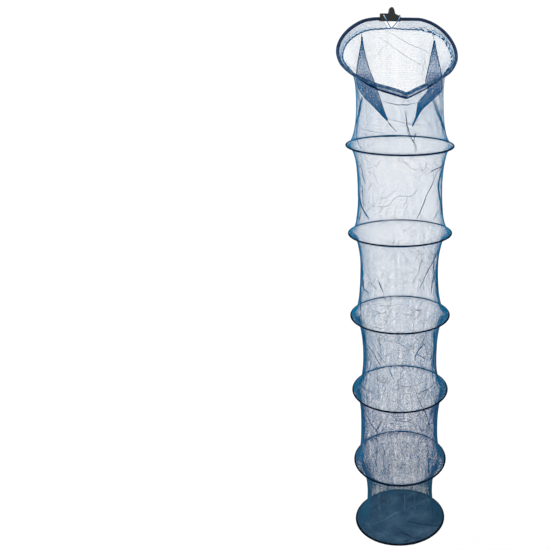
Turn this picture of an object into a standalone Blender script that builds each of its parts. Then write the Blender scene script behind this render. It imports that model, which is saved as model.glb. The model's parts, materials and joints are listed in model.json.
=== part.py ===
# Hooped keep net: a D-shaped mouth frame tilted under its bracket, a netting body held open by six round hoops and a
# closed tail. Metres, +Z up, front towards -Y. The origin is the mouth of the threaded socket in the bracket's boss,
# by which the net is held; the net hangs below it.

import bpy
import bmesh
import math
from mathutils import Vector

for _o in list(bpy.data.objects):
    bpy.data.objects.remove(_o, do_unlink=True)

# ---------------------------------------------------------------- driving dimensions
BAR_Y, BAR_Z = -0.0100, -0.0265      # centre of the frame's back bar, straight below the boss
FRAME_TILT = math.radians(45.0)      # the frame's plane runs down and forward from the back bar
TUBE_R = 0.0045                      # frame tube
WRAP_RIN, WRAP_R = 0.0048, 0.0056    # sleeve wound round it
FRAME_PTS = 56

AXIS_Y = BAR_Y - 0.139               # axis through the middles of the hoops
HOOP_OD = 0.380                      # over the stitched hem
HEM_R, HEM_RIN = 0.0039, 0.0035      # stitched hem round each hoop, section radii
WIRE_R = 0.0021                     # hoop wire
FERRULE_R, FERRULE_RIN = 0.0027, 0.0024
HOOP_R = HOOP_OD / 2 - HEM_R         # centre line of the hoop wire
HOOP_Z = (-0.4390, -0.7516, -1.0715, -1.3884, -1.7123, -2.0090)
HOOP_TILT = (3.4, 0.0, 0.0, 0.0, 0.0, -4.3)      # degrees about X, back edge raised
HOOP_SEGS = 28

CHEM_R, CHEM_RIN = 0.0032, 0.0021    # drawstring hem
CORD_R = 0.0016
CHEM_PTS = 44
NET_T = 0.0009                       # thickness of the plain solids that stand for netting

BLOCK_LEFT, BLOCK_RIGHT = -0.0420, 0.0310      # the bracket's ends along the bar
BLOCK_DEPTH = 0.010                  # each half of the bracket
GAP = 0.0003

# ---------------------------------------------------------------- collections and materials
def collection(name):
    c = bpy.data.collections.new(name)
    bpy.context.scene.collection.children.link(c)
    return c


PARTS = collection("keep_net")
CUTTERS = collection("cutters")


def material(name, rgb, rough, metal=0.0):
    m = bpy.data.materials.new(name)
    m.use_nodes = True
    b = m.node_tree.nodes["Principled BSDF"]
    b.inputs["Base Color"].default_value = (*rgb, 1.0)
    b.inputs["Roughness"].default_value = rough
    b.inputs["Metallic"].default_value = metal
    return m


BLACK = material("black_plastic", (0.018, 0.019, 0.020), 0.45)
BRASS = material("brass", (0.60, 0.42, 0.16), 0.30, 1.0)
STEEL = material("screw_steel", (0.45, 0.45, 0.46), 0.30, 1.0)
TUBE = material("frame_tube", (0.10, 0.12, 0.16), 0.40, 1.0)
NAVY = material("navy_sleeve", (0.030, 0.075, 0.170), 0.50)
WIRE = material("hoop_wire", (0.030, 0.035, 0.050), 0.45, 0.6)
HEM = material("hoop_hem", (0.030, 0.050, 0.095), 0.75)
NET = material("blue_netting", (0.060, 0.220, 0.420), 0.70)
DARKNET = material("dense_netting", (0.025, 0.075, 0.130), 0.75)
SKY = material("light_blue_cord", (0.130, 0.330, 0.560), 0.65)


def add(obj, mat, coll=PARTS):
    for c in list(obj.users_collection):
        c.objects.unlink(obj)
    coll.objects.link(obj)
    if mat is not None:
        obj.data.materials.clear()
        obj.data.materials.append(mat)
    return obj


def smooth(obj, angle=35.0):
    obj.data.shade_smooth()
    obj.data.set_sharp_from_angle(angle=math.radians(angle))
    return obj


def mesh_object(name, bm, mat, coll=PARTS):
    me = bpy.data.meshes.new(name)
    bm.to_mesh(me)
    bm.free()
    return smooth(add(bpy.data.objects.new(name, me), mat, coll))


# ---------------------------------------------------------------- curves
def catmull(points, per, closed):
    """Smooth points through a short list of control points."""
    p = [Vector(q) for q in points]
    n = len(p)
    out = []
    for i in range(n if closed else n - 1):
        if closed:
            a, b, c, d = p[i - 1], p[i], p[(i + 1) % n], p[(i + 2) % n]
        else:
            b, c = p[i], p[i + 1]
            a = p[i - 1] if i else b * 2 - c
            d = p[i + 2] if i + 2 < n else c * 2 - b
        for k in range(per):
            t = k / per
            out.append(0.5 * (b * 2 + (c - a) * t + (a * 2 - b * 5 + c * 4 - d) * t * t
                              + (b * 3 - a - c * 3 + d) * t ** 3))
    if not closed:
        out.append(p[-1].copy())
    return out


def resample(points, count):
    """The same line with equal steps."""
    s = [0.0]
    for a, b in zip(points, points[1:]):
        s.append(s[-1] + (b - a).length)
    out, j = [], 0
    for i in range(count):
        w = s[-1] * i / (count - 1)
        while j < len(s) - 2 and s[j + 1] < w:
            j += 1
        t = (w - s[j]) / max(1e-12, s[j + 1] - s[j])
        out.append(points[j].lerp(points[j + 1], t))
    return out


def tube_curve(name, points, radius, resolution, mat, caps=True, cyclic=False, coll=PARTS):
    cu = bpy.data.curves.new(name, "CURVE")
    cu.dimensions = "3D"
    cu.bevel_depth = radius
    cu.bevel_resolution = resolution
    cu.use_fill_caps = caps
    cu.twist_mode = "MINIMUM"
    sp = cu.splines.new("POLY")
    sp.points.add(len(points) - 1)
    for q, v in zip(sp.points, points):
        q.co = (v[0], v[1], v[2], 1.0)
    sp.use_cyclic_u = cyclic
    sp.use_smooth = True
    return add(bpy.data.objects.new(name, cu), mat, coll)


def to_mesh(obj, weld=1e-5):
    """Makes a curve object a mesh object with welded caps, in the same place."""
    dg = bpy.context.evaluated_depsgraph_get()
    me = bpy.data.meshes.new_from_object(obj.evaluated_get(dg))
    bm = bmesh.new()
    bm.from_mesh(me)
    bmesh.ops.remove_doubles(bm, verts=bm.verts, dist=weld)
    bm.to_mesh(me)
    bm.free()
    name, mw = obj.name, obj.matrix_world.copy()
    coll = obj.users_collection[0]
    mat = obj.data.materials[0] if obj.data.materials else None
    bpy.data.objects.remove(obj, do_unlink=True)
    me.name = name
    new = bpy.data.objects.new(name, me)
    new.matrix_world = mw
    return smooth(add(new, mat, coll))


def sleeve(name, points, r_out, r_in, resolution, mat):
    """An open-ended tube wall along a line: an uncapped swept skin, thickened inwards."""
    obj = to_mesh(tube_curve(name, points, r_out, resolution, mat, caps=False))
    so = obj.modifiers.new("wall", "SOLIDIFY")
    so.thickness = r_out - r_in
    so.offset = -1.0
    so.use_even_offset = True
    so.use_rim = True
    return obj


def outline_solid(name, points, y0, y1, loc, mat, coll=PARTS):
    """A flat outline in XZ, from y0 to y1 in depth."""
    cu = bpy.data.curves.new(name, "CURVE")
    cu.dimensions = "2D"
    cu.fill_mode = "BOTH"
    cu.extrude = (y1 - y0) / 2
    sp = cu.splines.new("POLY")
    sp.points.add(len(points) - 1)
    for q, v in zip(sp.points, points):
        q.co = (v[0], v[1], 0.0, 1.0)
    sp.use_cyclic_u = True
    obj = add(bpy.data.objects.new(name, cu), mat, coll)
    obj.rotation_euler = (math.pi / 2, 0.0, 0.0)
    obj.location = (loc[0], loc[1] + (y0 + y1) / 2, loc[2])
    bpy.context.view_layer.update()
    return to_mesh(obj)


def rounded(points, radius, n=3):
    """A polygon's corners rounded with arcs of n steps."""
    out = []
    m = len(points)
    for i in range(m):
        a, b, c = (Vector(points[(i + k - 1) % m]) for k in range(3))
        u, v = (a - b).normalized(), (c - b).normalized()
        r = min(radius, (a - b).length * 0.45, (c - b).length * 0.45)
        p, q = b + u * r, b + v * r
        for k in range(n + 1):
            t = k / n
            out.append(p * (1 - t) ** 2 + b * 2 * t * (1 - t) + q * t * t)
    return out


def cylinder(name, radius, depth, centre, axis, verts=32, coll=CUTTERS, mat=None):
    bm = bmesh.new()
    bmesh.ops.create_cone(bm, cap_ends=True, segments=verts, radius1=radius, radius2=radius, depth=depth)
    obj = mesh_object(name, bm, mat, coll)
    obj.location = centre
    obj.rotation_euler = {"X": (0, math.pi / 2, 0), "Y": (math.pi / 2, 0, 0), "Z": (0, 0, 0)}[axis]
    if coll is CUTTERS:
        obj.hide_render = True
        obj.display_type = "WIRE"
    return obj


def box(name, low, high, coll=CUTTERS, mat=None):
    bm = bmesh.new()
    bmesh.ops.create_cube(bm, size=1.0)
    size = Vector(high) - Vector(low)
    bmesh.ops.scale(bm, vec=size, verts=bm.verts)
    obj = mesh_object(name, bm, mat, coll)
    obj.location = (Vector(high) + Vector(low)) / 2
    if coll is CUTTERS:
        obj.hide_render = True
        obj.display_type = "WIRE"
    return obj


def boolean(obj, cutter, operation="DIFFERENCE"):
    md = obj.modifiers.new(cutter.name, "BOOLEAN")
    md.operation = operation
    md.object = cutter
    md.solver = "EXACT"
    return md


def grid_shell(name, rows, closed, thickness, mat):
    """A thin sheet lofted through rows of points (all of one length), thickened evenly about its middle."""
    bm = bmesh.new()
    vs = [[bm.verts.new(p) for p in row] for row in rows]
    n = len(rows[0])
    for a, b in zip(vs, vs[1:]):
        for i in range(n if closed else n - 1):
            j = (i + 1) % n
            bm.faces.new((a[i], a[j], b[j], b[i]))
    obj = mesh_object(name, bm, mat)
    so = obj.modifiers.new("cloth", "SOLIDIFY")
    so.thickness = thickness
    so.offset = 0.0
    so.use_even_offset = True
    so.use_rim = True
    return obj


# ---------------------------------------------------------------- mouth frame
# The frame's outline in its own plane, from the back bar's middle towards +X: x, and distance v down the slope from the
# back bar. The sides bulge past the hoops' width, the front comes to an outward V, and the two sides are bent by hand, so
# they differ by a few millimetres.
OUTLINE = [(0.0000, 0.0000), (0.0450, 0.0000), (0.0800, 0.0000), (0.1080, 0.0025), (0.1423, 0.0202), (0.1725, 0.0525),
           (0.1923, 0.0927), (0.2015, 0.1370), (0.1990, 0.1760), (0.1879, 0.2074), (0.1640, 0.2420), (0.1282, 0.2694),
           (0.0900, 0.2912), (0.0509, 0.3110), (0.0140, 0.3318), (0.0000, 0.3372), (-0.0140, 0.3305), (-0.0523, 0.3136),
           (-0.0930, 0.2980), (-0.1311, 0.2760), (-0.1670, 0.2495), (-0.1939, 0.2129), (-0.2036, 0.1750), (-0.2005, 0.1360),
           (-0.1855, 0.0973), (-0.1635, 0.0645), (-0.1360, 0.0362), (-0.1020, 0.0125), (-0.0700, 0.0025), (-0.0450, 0.0000)]


def slope(x, v):
    return Vector((x, BAR_Y - v * math.sin(FRAME_TILT), BAR_Z - v * math.cos(FRAME_TILT)))


def frame_line():
    """The frame's centre line as a closed loop of fine points, from the back bar's middle towards +X; the bar is straight."""
    out = []
    for p in catmull([Vector((x, v, 0.0)) for x, v in OUTLINE], 12, True):
        out.append(slope(p.x, max(0.0, p.y)))
    return out


def trimmed(loop, left, right):
    """The closed loop opened at the back bar: it starts at x = right and ends at x = left."""
    body = [p for p in loop + [loop[0]] if not (left - 0.001 <= p.x <= right + 0.001 and p.z > BAR_Z - 0.02)]
    return [Vector((right, BAR_Y, BAR_Z))] + body + [Vector((left, BAR_Y, BAR_Z))]


LOOP = frame_line()
TUBE_LINE = resample(trimmed(LOOP, -GAP, GAP), FRAME_PTS)
frame_obj = to_mesh(tube_curve("mouth_frame", TUBE_LINE, TUBE_R, 2, TUBE))

# The sleeve follows the very corners of the tube's centre line, so that it stays clear of it all round.
WRAP_LINE = trimmed(TUBE_LINE, BLOCK_LEFT - 2 * GAP, BLOCK_RIGHT + 2 * GAP)
sleeve("mouth_wrap", WRAP_LINE, WRAP_R, WRAP_RIN, 2, NAVY)

# ---------------------------------------------------------------- collar, drawstring hem and drawstring
FINE = resample(LOOP + [LOOP[0]], 721)[:-1]
CENTRE = Vector((0.0, AXIS_Y, 0.0))


def inward(i, span=14):
    """Level inward normal of the frame's plan at fine point i."""
    a, b = FINE[(i - span) % len(FINE)], FINE[(i + span) % len(FINE)]
    t = Vector((b.x - a.x, b.y - a.y, 0.0))
    n = Vector((-t.y, t.x, 0.0))
    if n.length < 1e-9:
        return Vector((0, 0, 0))
    n.normalize()
    c = Vector((CENTRE.x - FINE[i].x, CENTRE.y - FINE[i].y, 0.0))
    return n if n.dot(c) > 0 else -n


def slope_v(p):
    return (BAR_Z - p.z) / math.cos(FRAME_TILT)


# Where the collar's hem runs, by the distance v down the slope: how far it is in from the frame's line, and how far below
# it. It hangs at the back, is drawn in at the sides, and lies close behind and under the tube in front.
HEM_V = (0.0, 0.03, 0.06, 0.10, 0.14, 0.17, 0.20, 0.22, 0.245, 0.27, 0.29, 0.31, 0.325, 0.34)
HEM_IN = {1: (0.0, 0.0020, 0.0065, 0.0125, 0.0150, 0.0155, 0.0150, 0.0145, 0.0135, 0.0120, 0.0085, 0.0050, 0.0040, 0.0045),
          -1: (0.0, 0.0000, 0.0030, 0.0110, 0.0160, 0.0160, 0.0150, 0.0145, 0.0135, 0.0120, 0.0085, 0.0050, 0.0040, 0.0045)}
HEM_DROP = {1: (0.033, 0.0280, 0.0220, 0.0225, 0.0185, 0.0090, 0.0000, -0.0025, 0.0005, 0.0060, 0.0105, 0.0135, 0.0135, 0.0125),
            -1: (0.033, 0.0335, 0.0325, 0.0310, 0.0245, 0.0120, 0.0005, -0.0030, -0.0005, 0.0060, 0.0105, 0.0138, 0.0140, 0.0125)}


def between(x, xs, ys):
    """Straight lines between the points of a table."""
    if x <= xs[0]:
        return ys[0]
    for x0, x1, y0, y1 in zip(xs, xs[1:], ys, ys[1:]):
        if x <= x1:
            return y0 + (y1 - y0) * (x - x0) / (x1 - x0)
    return ys[-1]


def hem_loop():
    v = [slope_v(p) for p in FINE]
    side = [1 if p.x >= 0 else -1 for p in FINE]
    rise = [0.003 * math.exp(-(p.x / 0.03) ** 2) if w < 0.02 else 0.0 for p, w in zip(FINE, v)]
    far = [between(w, HEM_V, HEM_IN[n]) for w, n in zip(v, side)]
    drop = [between(w, HEM_V, HEM_DROP[n]) - r for w, n, r in zip(v, side, rise)]
    for _ in range(30):
        far = [(far[i - 1] + 2 * far[i] + far[(i + 1) % N_FINE]) / 4 for i in range(N_FINE)]
        drop = [(drop[i - 1] + 2 * drop[i] + drop[(i + 1) % N_FINE]) / 4 for i in range(N_FINE)]
    return [p + inward(i) * far[i] + Vector((0, 0, -drop[i])) for i, p in enumerate(FINE)]


N_FINE = len(FINE)
HEM_LOOP = hem_loop()
HEM_GAP = 0.0060
hem_open = [p for p in HEM_LOOP if not (abs(p.x) < HEM_GAP and p.y > AXIS_Y)]
# the loop starts at the back bar's middle and runs towards +X
HEM_LINE = resample(hem_open, CHEM_PTS)
sleeve("collar_hem", HEM_LINE, CHEM_R, CHEM_RIN, 1, SKY)

def nearest(line, p):
    """The nearest point to p on a polyline."""
    best, found = 1e9, None
    for a, b in zip(line, line[1:]):
        ab = b - a
        t = max(0.0, min(1.0, (p - a).dot(ab) / max(1e-12, ab.length_squared)))
        q = a + ab * t
        if (q - p).length < best:
            best, found = (q - p).length, q
    return found


def across(d, line, p):
    """The part of direction d square to the line near p."""
    k = min(range(len(line) - 1), key=lambda n: ((line[n] + line[n + 1]) / 2 - p).length_squared)
    t = (line[k + 1] - line[k]).normalized()
    return (d - t * d.dot(t)).normalized()


def nearest_id(p):
    return min(range(N_FINE), key=lambda i: (HEM_LOOP[i] - p).length_squared)


HEM_IDS = [nearest_id(p) for p in HEM_LINE]

# The collar is a strip of netting from the tube to the hem, whose columns share the hem line's corners. It is split at
# the back, where the drawstring comes out.
SLIT_TOP = 0.0330
columns = []
for k in range(CHEM_PTS - 1):
    columns.append(float(k))
columns.append(CHEM_PTS - 1.0)
collar_top, collar_low = [], []
for c in columns:
    k = min(int(c), CHEM_PTS - 2)
    h = HEM_LINE[k].lerp(HEM_LINE[k + 1], c - k)
    i = nearest_id(h)
    f = FINE[i].copy()
    if f.y > BAR_Y - 0.004 and abs(f.x) < 0.080:
        # the top edge starts beside the bracket and the strip's ends slant down to where the cord comes out
        f.x = math.copysign(SLIT_TOP + (abs(f.x) - HEM_GAP) * (0.080 - SLIT_TOP) / (0.080 - HEM_GAP), f.x)
    p = nearest(WRAP_LINE, f)
    d = (h - p).normalized()
    beside_block = BLOCK_LEFT - 0.006 < f.x < BLOCK_RIGHT + 0.006 and f.y > BAR_Y - 0.004
    collar_top.append(p + across(d, WRAP_LINE, p) * (0.0100 if beside_block else WRAP_R + 0.0008))
    collar_low.append(h - across(d, HEM_LINE, h) * (CHEM_R + 0.0008))
collar_mid = [a.lerp(b, 0.5) for a, b in zip(collar_top, collar_low)]
grid_shell("collar_netting", [collar_top, collar_mid, collar_low], False, NET_T, NET)

# ---------------------------------------------------------------- bracket
B = Vector((0.0, BAR_Y, BAR_Z))
CORD_HOLE = (-0.0300, 0.0108)
FRONT_OUTLINE = [(-0.0420, -0.0075), (0.0310, -0.0075), (0.0310, 0.0080), (0.0210, 0.0120), (0.0130, 0.0158),
                 (-0.0160, 0.0168), (-0.0420, 0.0165)]
REAR_OUTLINE = [(-0.0420, -0.0075), (0.0310, -0.0075), (0.0310, 0.0062), (0.0165, 0.0066), (0.0165, 0.0138),
                (-0.0215, 0.0138), (-0.0215, 0.0066), (-0.0420, 0.0066)]
# the boss round the stud's insert, drawn in to a blunt top
BOSS_OUTLINE = [(-0.0135, 0.0152), (0.0115, 0.0152), (0.0099, 0.0205), (0.0091, 0.0240), (0.0079, 0.0285), (0.0064, 0.0322),
                (0.0040, 0.0354), (0.0010, 0.0372), (-0.0030, 0.0374), (-0.0060, 0.0352), (-0.0085, 0.0312), (-0.0096, 0.0270),
                (-0.0104, 0.0225), (-0.0118, 0.0185)]
SCREW_X = (-0.0160, 0.0110)
SCREW_Z = 0.0098

block = outline_solid("connector_block", rounded(FRONT_OUTLINE, 0.0012, 2), -BLOCK_DEPTH, -GAP / 2, B, BLACK)
boss = outline_solid("boss_add", rounded(BOSS_OUTLINE, 0.0020, 2), -0.0102, 0.0095, B, BLACK, CUTTERS)
boss.hide_render = True
boss.display_type = "WIRE"
boolean(block, boss, "UNION")
channel = cylinder("tube_channel_cut", TUBE_R + GAP, 0.10, B, "X", 24)
boolean(block, channel)
insert_bore = cylinder("insert_bore_cut", 0.0053, 0.0160, B + Vector((0, 0.0040, 0.0265)), "Y", 24)
boolean(block, insert_bore)
hole = cylinder("cord_hole_cut", 0.0024, 0.03, B + Vector((CORD_HOLE[0], 0, CORD_HOLE[1])), "Y", 16)
boolean(block, hole)
for n, x in enumerate(SCREW_X):
    pilot = cylinder("pilot_cut_%d" % n, 0.0015, 0.0150, B + Vector((x, 0.0000, SCREW_Z)), "Y", 12)
    boolean(block, pilot)

clamp = outline_solid("connector_clamp", rounded(REAR_OUTLINE, 0.0008, 2), GAP / 2, BLOCK_DEPTH, B, BLACK)
boolean(clamp, channel)
for n, x in enumerate(SCREW_X):
    through = cylinder("through_cut_%d" % n, 0.0016, 0.0300, B + Vector((x, 0.005, SCREW_Z)), "Y", 12)
    pocket = cylinder("head_cut_%d" % n, 0.0027, 0.0040, B + Vector((x, BLOCK_DEPTH, SCREW_Z)), "Y", 16)
    boolean(clamp, through)
    boolean(clamp, pocket)


def turned(name, profile, steps, mat):
    """A solid turned about its own Z from a closed or axis-ended profile of (x, z), outer side running down."""
    bm = bmesh.new()
    vs = [bm.verts.new((x, 0.0, z)) for x, z in profile]
    for a, b in zip(vs, vs[1:]):
        bm.edges.new((a, b))
    if profile[0][0] > 1e-6:
        bm.edges.new((vs[-1], vs[0]))
    obj = mesh_object(name, bm, mat)
    sc = obj.modifiers.new("turn", "SCREW")
    sc.axis = "Z"
    sc.angle = 2 * math.pi
    sc.steps = steps
    sc.render_steps = steps
    sc.use_merge_vertices = True
    sc.merge_threshold = 0.00005
    sc.use_smooth_shade = True
    return obj


# Screws: each a turned pan with its shank, pointing forward.
screw_profile = [(0.0, 0.0016), (0.0023, 0.0016), (0.0023, 0.0002), (0.00125, 0.0000), (0.00125, -0.0125), (0.0, -0.0135)]
for n, x in enumerate(SCREW_X):
    s = turned("connector_screw_%d" % (n + 1), screw_profile, 12, STEEL)
    s.rotation_euler = (-math.pi / 2, 0.0, 0.0)
    s.location = B + Vector((x, BLOCK_DEPTH - 0.0017, SCREW_Z))

# Threaded insert: a brass sleeve in the boss, open to the back.
insert = turned("threaded_insert", [(0.0034, 0.0), (0.0050, 0.0), (0.0050, -0.0130), (0.0034, -0.0130)], 20, BRASS)
insert.rotation_euler = (-math.pi / 2, 0.0, 0.0)
insert.location = (0.0, 0.0, 0.0)

# ---------------------------------------------------------------- drawstring
# From the knot behind the web through the eye and down the front of the bracket, crossing over into the hem, all round
# inside it, out again across the first strand, up the front and over the bracket's low shoulder to the second knot.
knot_l = B + Vector((CORD_HOLE[0], 0.0042, CORD_HOLE[1]))
knot_r = B + Vector((0.0285, 0.0045, 0.0106))
KNOT_R = 0.0033
start, end = HEM_LINE[0], HEM_LINE[-1]


def out_of_hem(p, side, y):
    """The cord's first few millimetres outside the hem, across the middle at depth y."""
    return [p + Vector((-0.0022 * side, y * 0.12, 0.0)), Vector((0.0, p.y + y, p.z + 0.0010)),
            Vector((-0.0046 * side, p.y + y * 1.15, p.z + 0.0052))]


left_leg = catmull([B + Vector((CORD_HOLE[0], 0.0042 - KNOT_R - GAP, CORD_HOLE[1])),
                    B + Vector((CORD_HOLE[0], -0.0070, CORD_HOLE[1])),
                    B + Vector((CORD_HOLE[0] + 0.0004, -0.0118, CORD_HOLE[1] - 0.0006)),
                    B + Vector((CORD_HOLE[0] + 0.0038, -0.0130, CORD_HOLE[1] - 0.0062)),
                    B + Vector((-0.0170, -0.0130, -0.0110))]
                   + list(reversed(out_of_hem(start, 1, 0.0023))) + [start], 5, False)
right_leg = catmull([end] + out_of_hem(end, -1, -0.0023)
                    + [B + Vector((0.0170, -0.0130, -0.0095)),
                       B + Vector((0.0268, -0.0130, 0.0062)),
                       B + Vector((0.0284, -0.0108, 0.0124)),
                       B + Vector((0.0287, -0.0040, 0.0134)),
                       B + Vector((0.0286, 0.0004, 0.0132)),
                       B + Vector((0.0285, 0.0045 - KNOT_R * 0.78 - GAP, 0.0106 + KNOT_R * 0.62 + GAP))], 5, False)
# The hem's own corners carry the cord inside it.
cord_line = left_leg[:-1] + HEM_LINE + right_leg[1:]
drawstring = to_mesh(tube_curve("drawstring", cord_line, CORD_R, 1, SKY))

for n, c in enumerate((knot_l, knot_r)):
    bm = bmesh.new()
    bmesh.ops.create_icosphere(bm, subdivisions=2, radius=KNOT_R * 0.97)
    knot = mesh_object("drawstring_knot_%d" % (n + 1), bm, SKY)
    knot.location = c


# ---------------------------------------------------------------- hoops
def hoop_frame(k):
    """An empty at the hoop's middle, on the line along which it slides, tilted as the hoop hangs."""
    e = bpy.data.objects.new("hoop_%d_centre" % (k + 1), None)
    e.location = (0.0, AXIS_Y, HOOP_Z[k])
    e.rotation_euler = (math.radians(HOOP_TILT[k]), 0.0, 0.0)
    e.empty_display_size = 0.03
    PARTS.objects.link(e)
    return e


def polar(r, a, z=0.0):
    return Vector((r * math.cos(a), r * math.sin(a), z))


STEP = 2 * math.pi / HOOP_SEGS
BACK = math.pi / 2                     # the wire's ends meet at the back
c_open = math.radians(14)
hem_profile = []
for q in range(6):                     # outer skin, over the top and down the outside
    a = math.pi - c_open - (2 * math.pi - 2 * c_open) * q / 5
    hem_profile.append((HOOP_R + HEM_R * math.cos(a), HEM_R * math.sin(a)))
for q in range(6):                     # and back along the inside
    a = -math.pi + c_open + (2 * math.pi - 2 * c_open) * q / 5
    hem_profile.append((HOOP_R + HEM_RIN * math.cos(a), HEM_RIN * math.sin(a)))

wire_mesh = ferrule_mesh = hem_mesh = None
for k in range(6):
    e = hoop_frame(k)
    name = "hoop_%d" % (k + 1)
    # wire: an almost closed ring whose ends meet at the back with a hair's gap
    eps = 0.00015 / HOOP_R
    corner = [polar(HOOP_R, BACK + STEP * n) for n in range(HOOP_SEGS + 1)]
    ring = [corner[0].lerp(corner[1], 0.004)] + corner[1:-1] + [corner[-1].lerp(corner[-2], 0.004)]
    w = tube_curve(name, ring, WIRE_R, 1, WIRE)
    w.parent = e
    # ferrule: short sleeve over the meeting ends, following the same corners
    half = [corner[0].lerp(corner[1], 0.68), corner[0], corner[-1].lerp(corner[-2], 0.68)]
    f = sleeve(name + "_ferrule", half, FERRULE_R, FERRULE_RIN, 1, STEEL)
    f.parent = e
    # stitched hem round the wire, slit on its inner side where the netting is sewn in
    h = turned(name + "_hem", hem_profile, HOOP_SEGS, HEM)
    h.parent = e


# ---------------------------------------------------------------- netting walls
def hoop_point(k, a, dr, dz):
    """A point on hoop k at angle a, dr inside its wire's line and dz above its plane."""
    t = math.radians(HOOP_TILT[k])
    q = polar(HOOP_R - dr, a, dz)
    return Vector((q.x, AXIS_Y + q.y * math.cos(t) - q.z * math.sin(t), HOOP_Z[k] + q.y * math.sin(t) + q.z * math.cos(t)))


# Shares of the hoop's radius to which each wall is drawn in, near its top and near its bottom, and how far it hangs to one
# side, as a share too.
WAIST = ((0.780, 0.780), (0.802, 0.797), (0.740, 0.785), (0.758, 0.752), (0.815, 0.835), (0.708, 0.708))
LEAN = (0.0, -0.006, 0.026, 0.013, 0.018, 0.0)
LEAN_AT = math.radians(168.0)
NET_ROWS = (0.0, 0.03, 0.10, 0.24, 0.50, 0.74, 0.88, 0.95, 0.98, 1.0)
NET_COLS = 24
SEAM = 0.0036                                     # the sewn edge lies just inside the hem


def flare(d, short, near, far):
    """How much of the hoop's width is left at distance d from it: a quick part and a slow part."""
    return short * math.exp(-d / near) + (1 - short) * math.exp(-d / far)


for k in range(1, 6):
    rows = []
    for t in NET_ROWS:
        row = []
        for c in range(NET_COLS):
            a = 2 * math.pi * c / NET_COLS
            top = hoop_point(k - 1, a, SEAM, -SEAM)
            low = hoop_point(k, a, SEAM, SEAM)
            p = top.lerp(low, t)
            length = HOOP_Z[k - 1] - HOOP_Z[k]
            w = WAIST[k][0] + (WAIST[k][1] - WAIST[k][0]) * t
            f = w + (1 - w) * (flare(t * length, 0.34, 0.006, 0.060) + flare((1 - t) * length, 0.42, 0.014, 0.060))
            f = min(f, 1.0) if 0.0 < t < 1.0 else 1.0
            f *= 1 + LEAN[k] * math.cos(a - LEAN_AT) * min(1.0, 4 * t * (1 - t))
            row.append(Vector((p.x * f, AXIS_Y + (p.y - AXIS_Y) * f, p.z)))
        rows.append(row)
    grid_shell("netting_%d" % (k + 1), rows, True, NET_T, NET)


# First wall: from the drawstring hem, which is D-shaped and tilted, to the first hoop, which is round.
def wall_point(h, t):
    top = h + across(Vector((0, 0, -1)), HEM_LINE, h) * (CHEM_R + 0.0016)
    rel = Vector((top.x, top.y - AXIS_Y, 0.0))
    rp, ap = rel.length, math.atan2(rel.y, rel.x)
    low = hoop_point(0, ap, SEAM, SEAM)
    waist = WAIST[0][0] * HOOP_R
    r1 = math.hypot(low.x, low.y - AXIS_Y)
    down, up, far = (top.z - low.z) * t, (top.z - low.z) * (1 - t), 0.030 if rp > waist else 0.070
    rho = waist + (rp - waist) * (math.exp(-down / far) - t * math.exp(-(top.z - low.z) / far)) \
        + (r1 - waist) * flare(up, 0.20, 0.006, 0.055)
    return Vector((rho * math.cos(ap), AXIS_Y + rho * math.sin(ap), top.z - down))


rows = [[wall_point(h, t) for h in HEM_LINE] for t in (0.0, 0.04, 0.11, 0.22, 0.42, 0.68, 0.86, 0.96, 1.0)]
grid_shell("netting_1", rows, True, NET_T, NET)

# Tail panel: a flat disc of dense netting just inside the last hoop's hem.
panel_r = HOOP_R - HEM_R - 0.0008
bm = bmesh.new()
bmesh.ops.create_cone(bm, cap_ends=True, segments=HOOP_SEGS, radius1=panel_r, radius2=panel_r, depth=0.0012)
panel = mesh_object("tail_panel", bm, DARKNET)
panel.parent = bpy.data.objects["hoop_6_centre"]


# ---------------------------------------------------------------- folded gores of the throat
# Each gore is a narrow pleated bundle of netting: stations of (z, y, left x, right x), lofted with a lens-shaped section.
GORE_LEFT = [(-0.086, -0.0318, -0.1095, -0.1073), (-0.110, -0.0461, -0.1141, -0.1072), (-0.145, -0.0776, -0.1262, -0.1056),
             (-0.180, -0.1086, -0.1373, -0.1008), (-0.205, -0.1300, -0.1436, -0.0954), (-0.228, -0.1396, -0.1450, -0.0866),
             (-0.252, -0.1447, -0.1384, -0.0788), (-0.278, -0.1478, -0.1228, -0.0704), (-0.304, -0.1499, -0.0965, -0.0620),
             (-0.330, -0.1500, -0.0715, -0.0530), (-0.356, -0.1500, -0.0460, -0.0421)]
GORE_RIGHT = [(-0.098, -0.0557, 0.1405, 0.1432), (-0.120, -0.0749, 0.1313, 0.1422), (-0.150, -0.1014, 0.1181, 0.1422),
              (-0.180, -0.1260, 0.1054, 0.1429), (-0.206, -0.1449, 0.0947, 0.1444), (-0.232, -0.1542, 0.0878, 0.1450),
              (-0.256, -0.1596, 0.0943, 0.1430), (-0.274, -0.1599, 0.0822, 0.1285), (-0.296, -0.1600, 0.0622, 0.1034),
              (-0.320, -0.1593, 0.0574, 0.0758), (-0.346, -0.1579, 0.0528, 0.0594), (-0.376, -0.1563, 0.0406, 0.0436)]


def gore(name, stations, depth):
    bm = bmesh.new()
    rings = []
    for z, y, x0, x1 in stations:
        c, w = (x0 + x1) / 2, (x1 - x0) / 2
        d = min(depth, w * 0.9)
        ring = []
        for q in range(6):
            a = 2 * math.pi * q / 6
            ring.append(bm.verts.new((c + w * math.cos(a), y + d * math.sin(a), z)))
        rings.append(ring)
    for a, b in zip(rings, rings[1:]):
        for q in range(6):
            bm.faces.new((a[q], b[q], b[(q + 1) % 6], a[(q + 1) % 6]))
    bm.faces.new(rings[0])
    bm.faces.new(list(reversed(rings[-1])))
    bmesh.ops.recalc_face_normals(bm, faces=bm.faces)
    return mesh_object(name, bm, DARKNET)


gore("throat_gore_left", GORE_LEFT, 0.0035)
gore("throat_gore_right", GORE_RIGHT, 0.0035)
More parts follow.
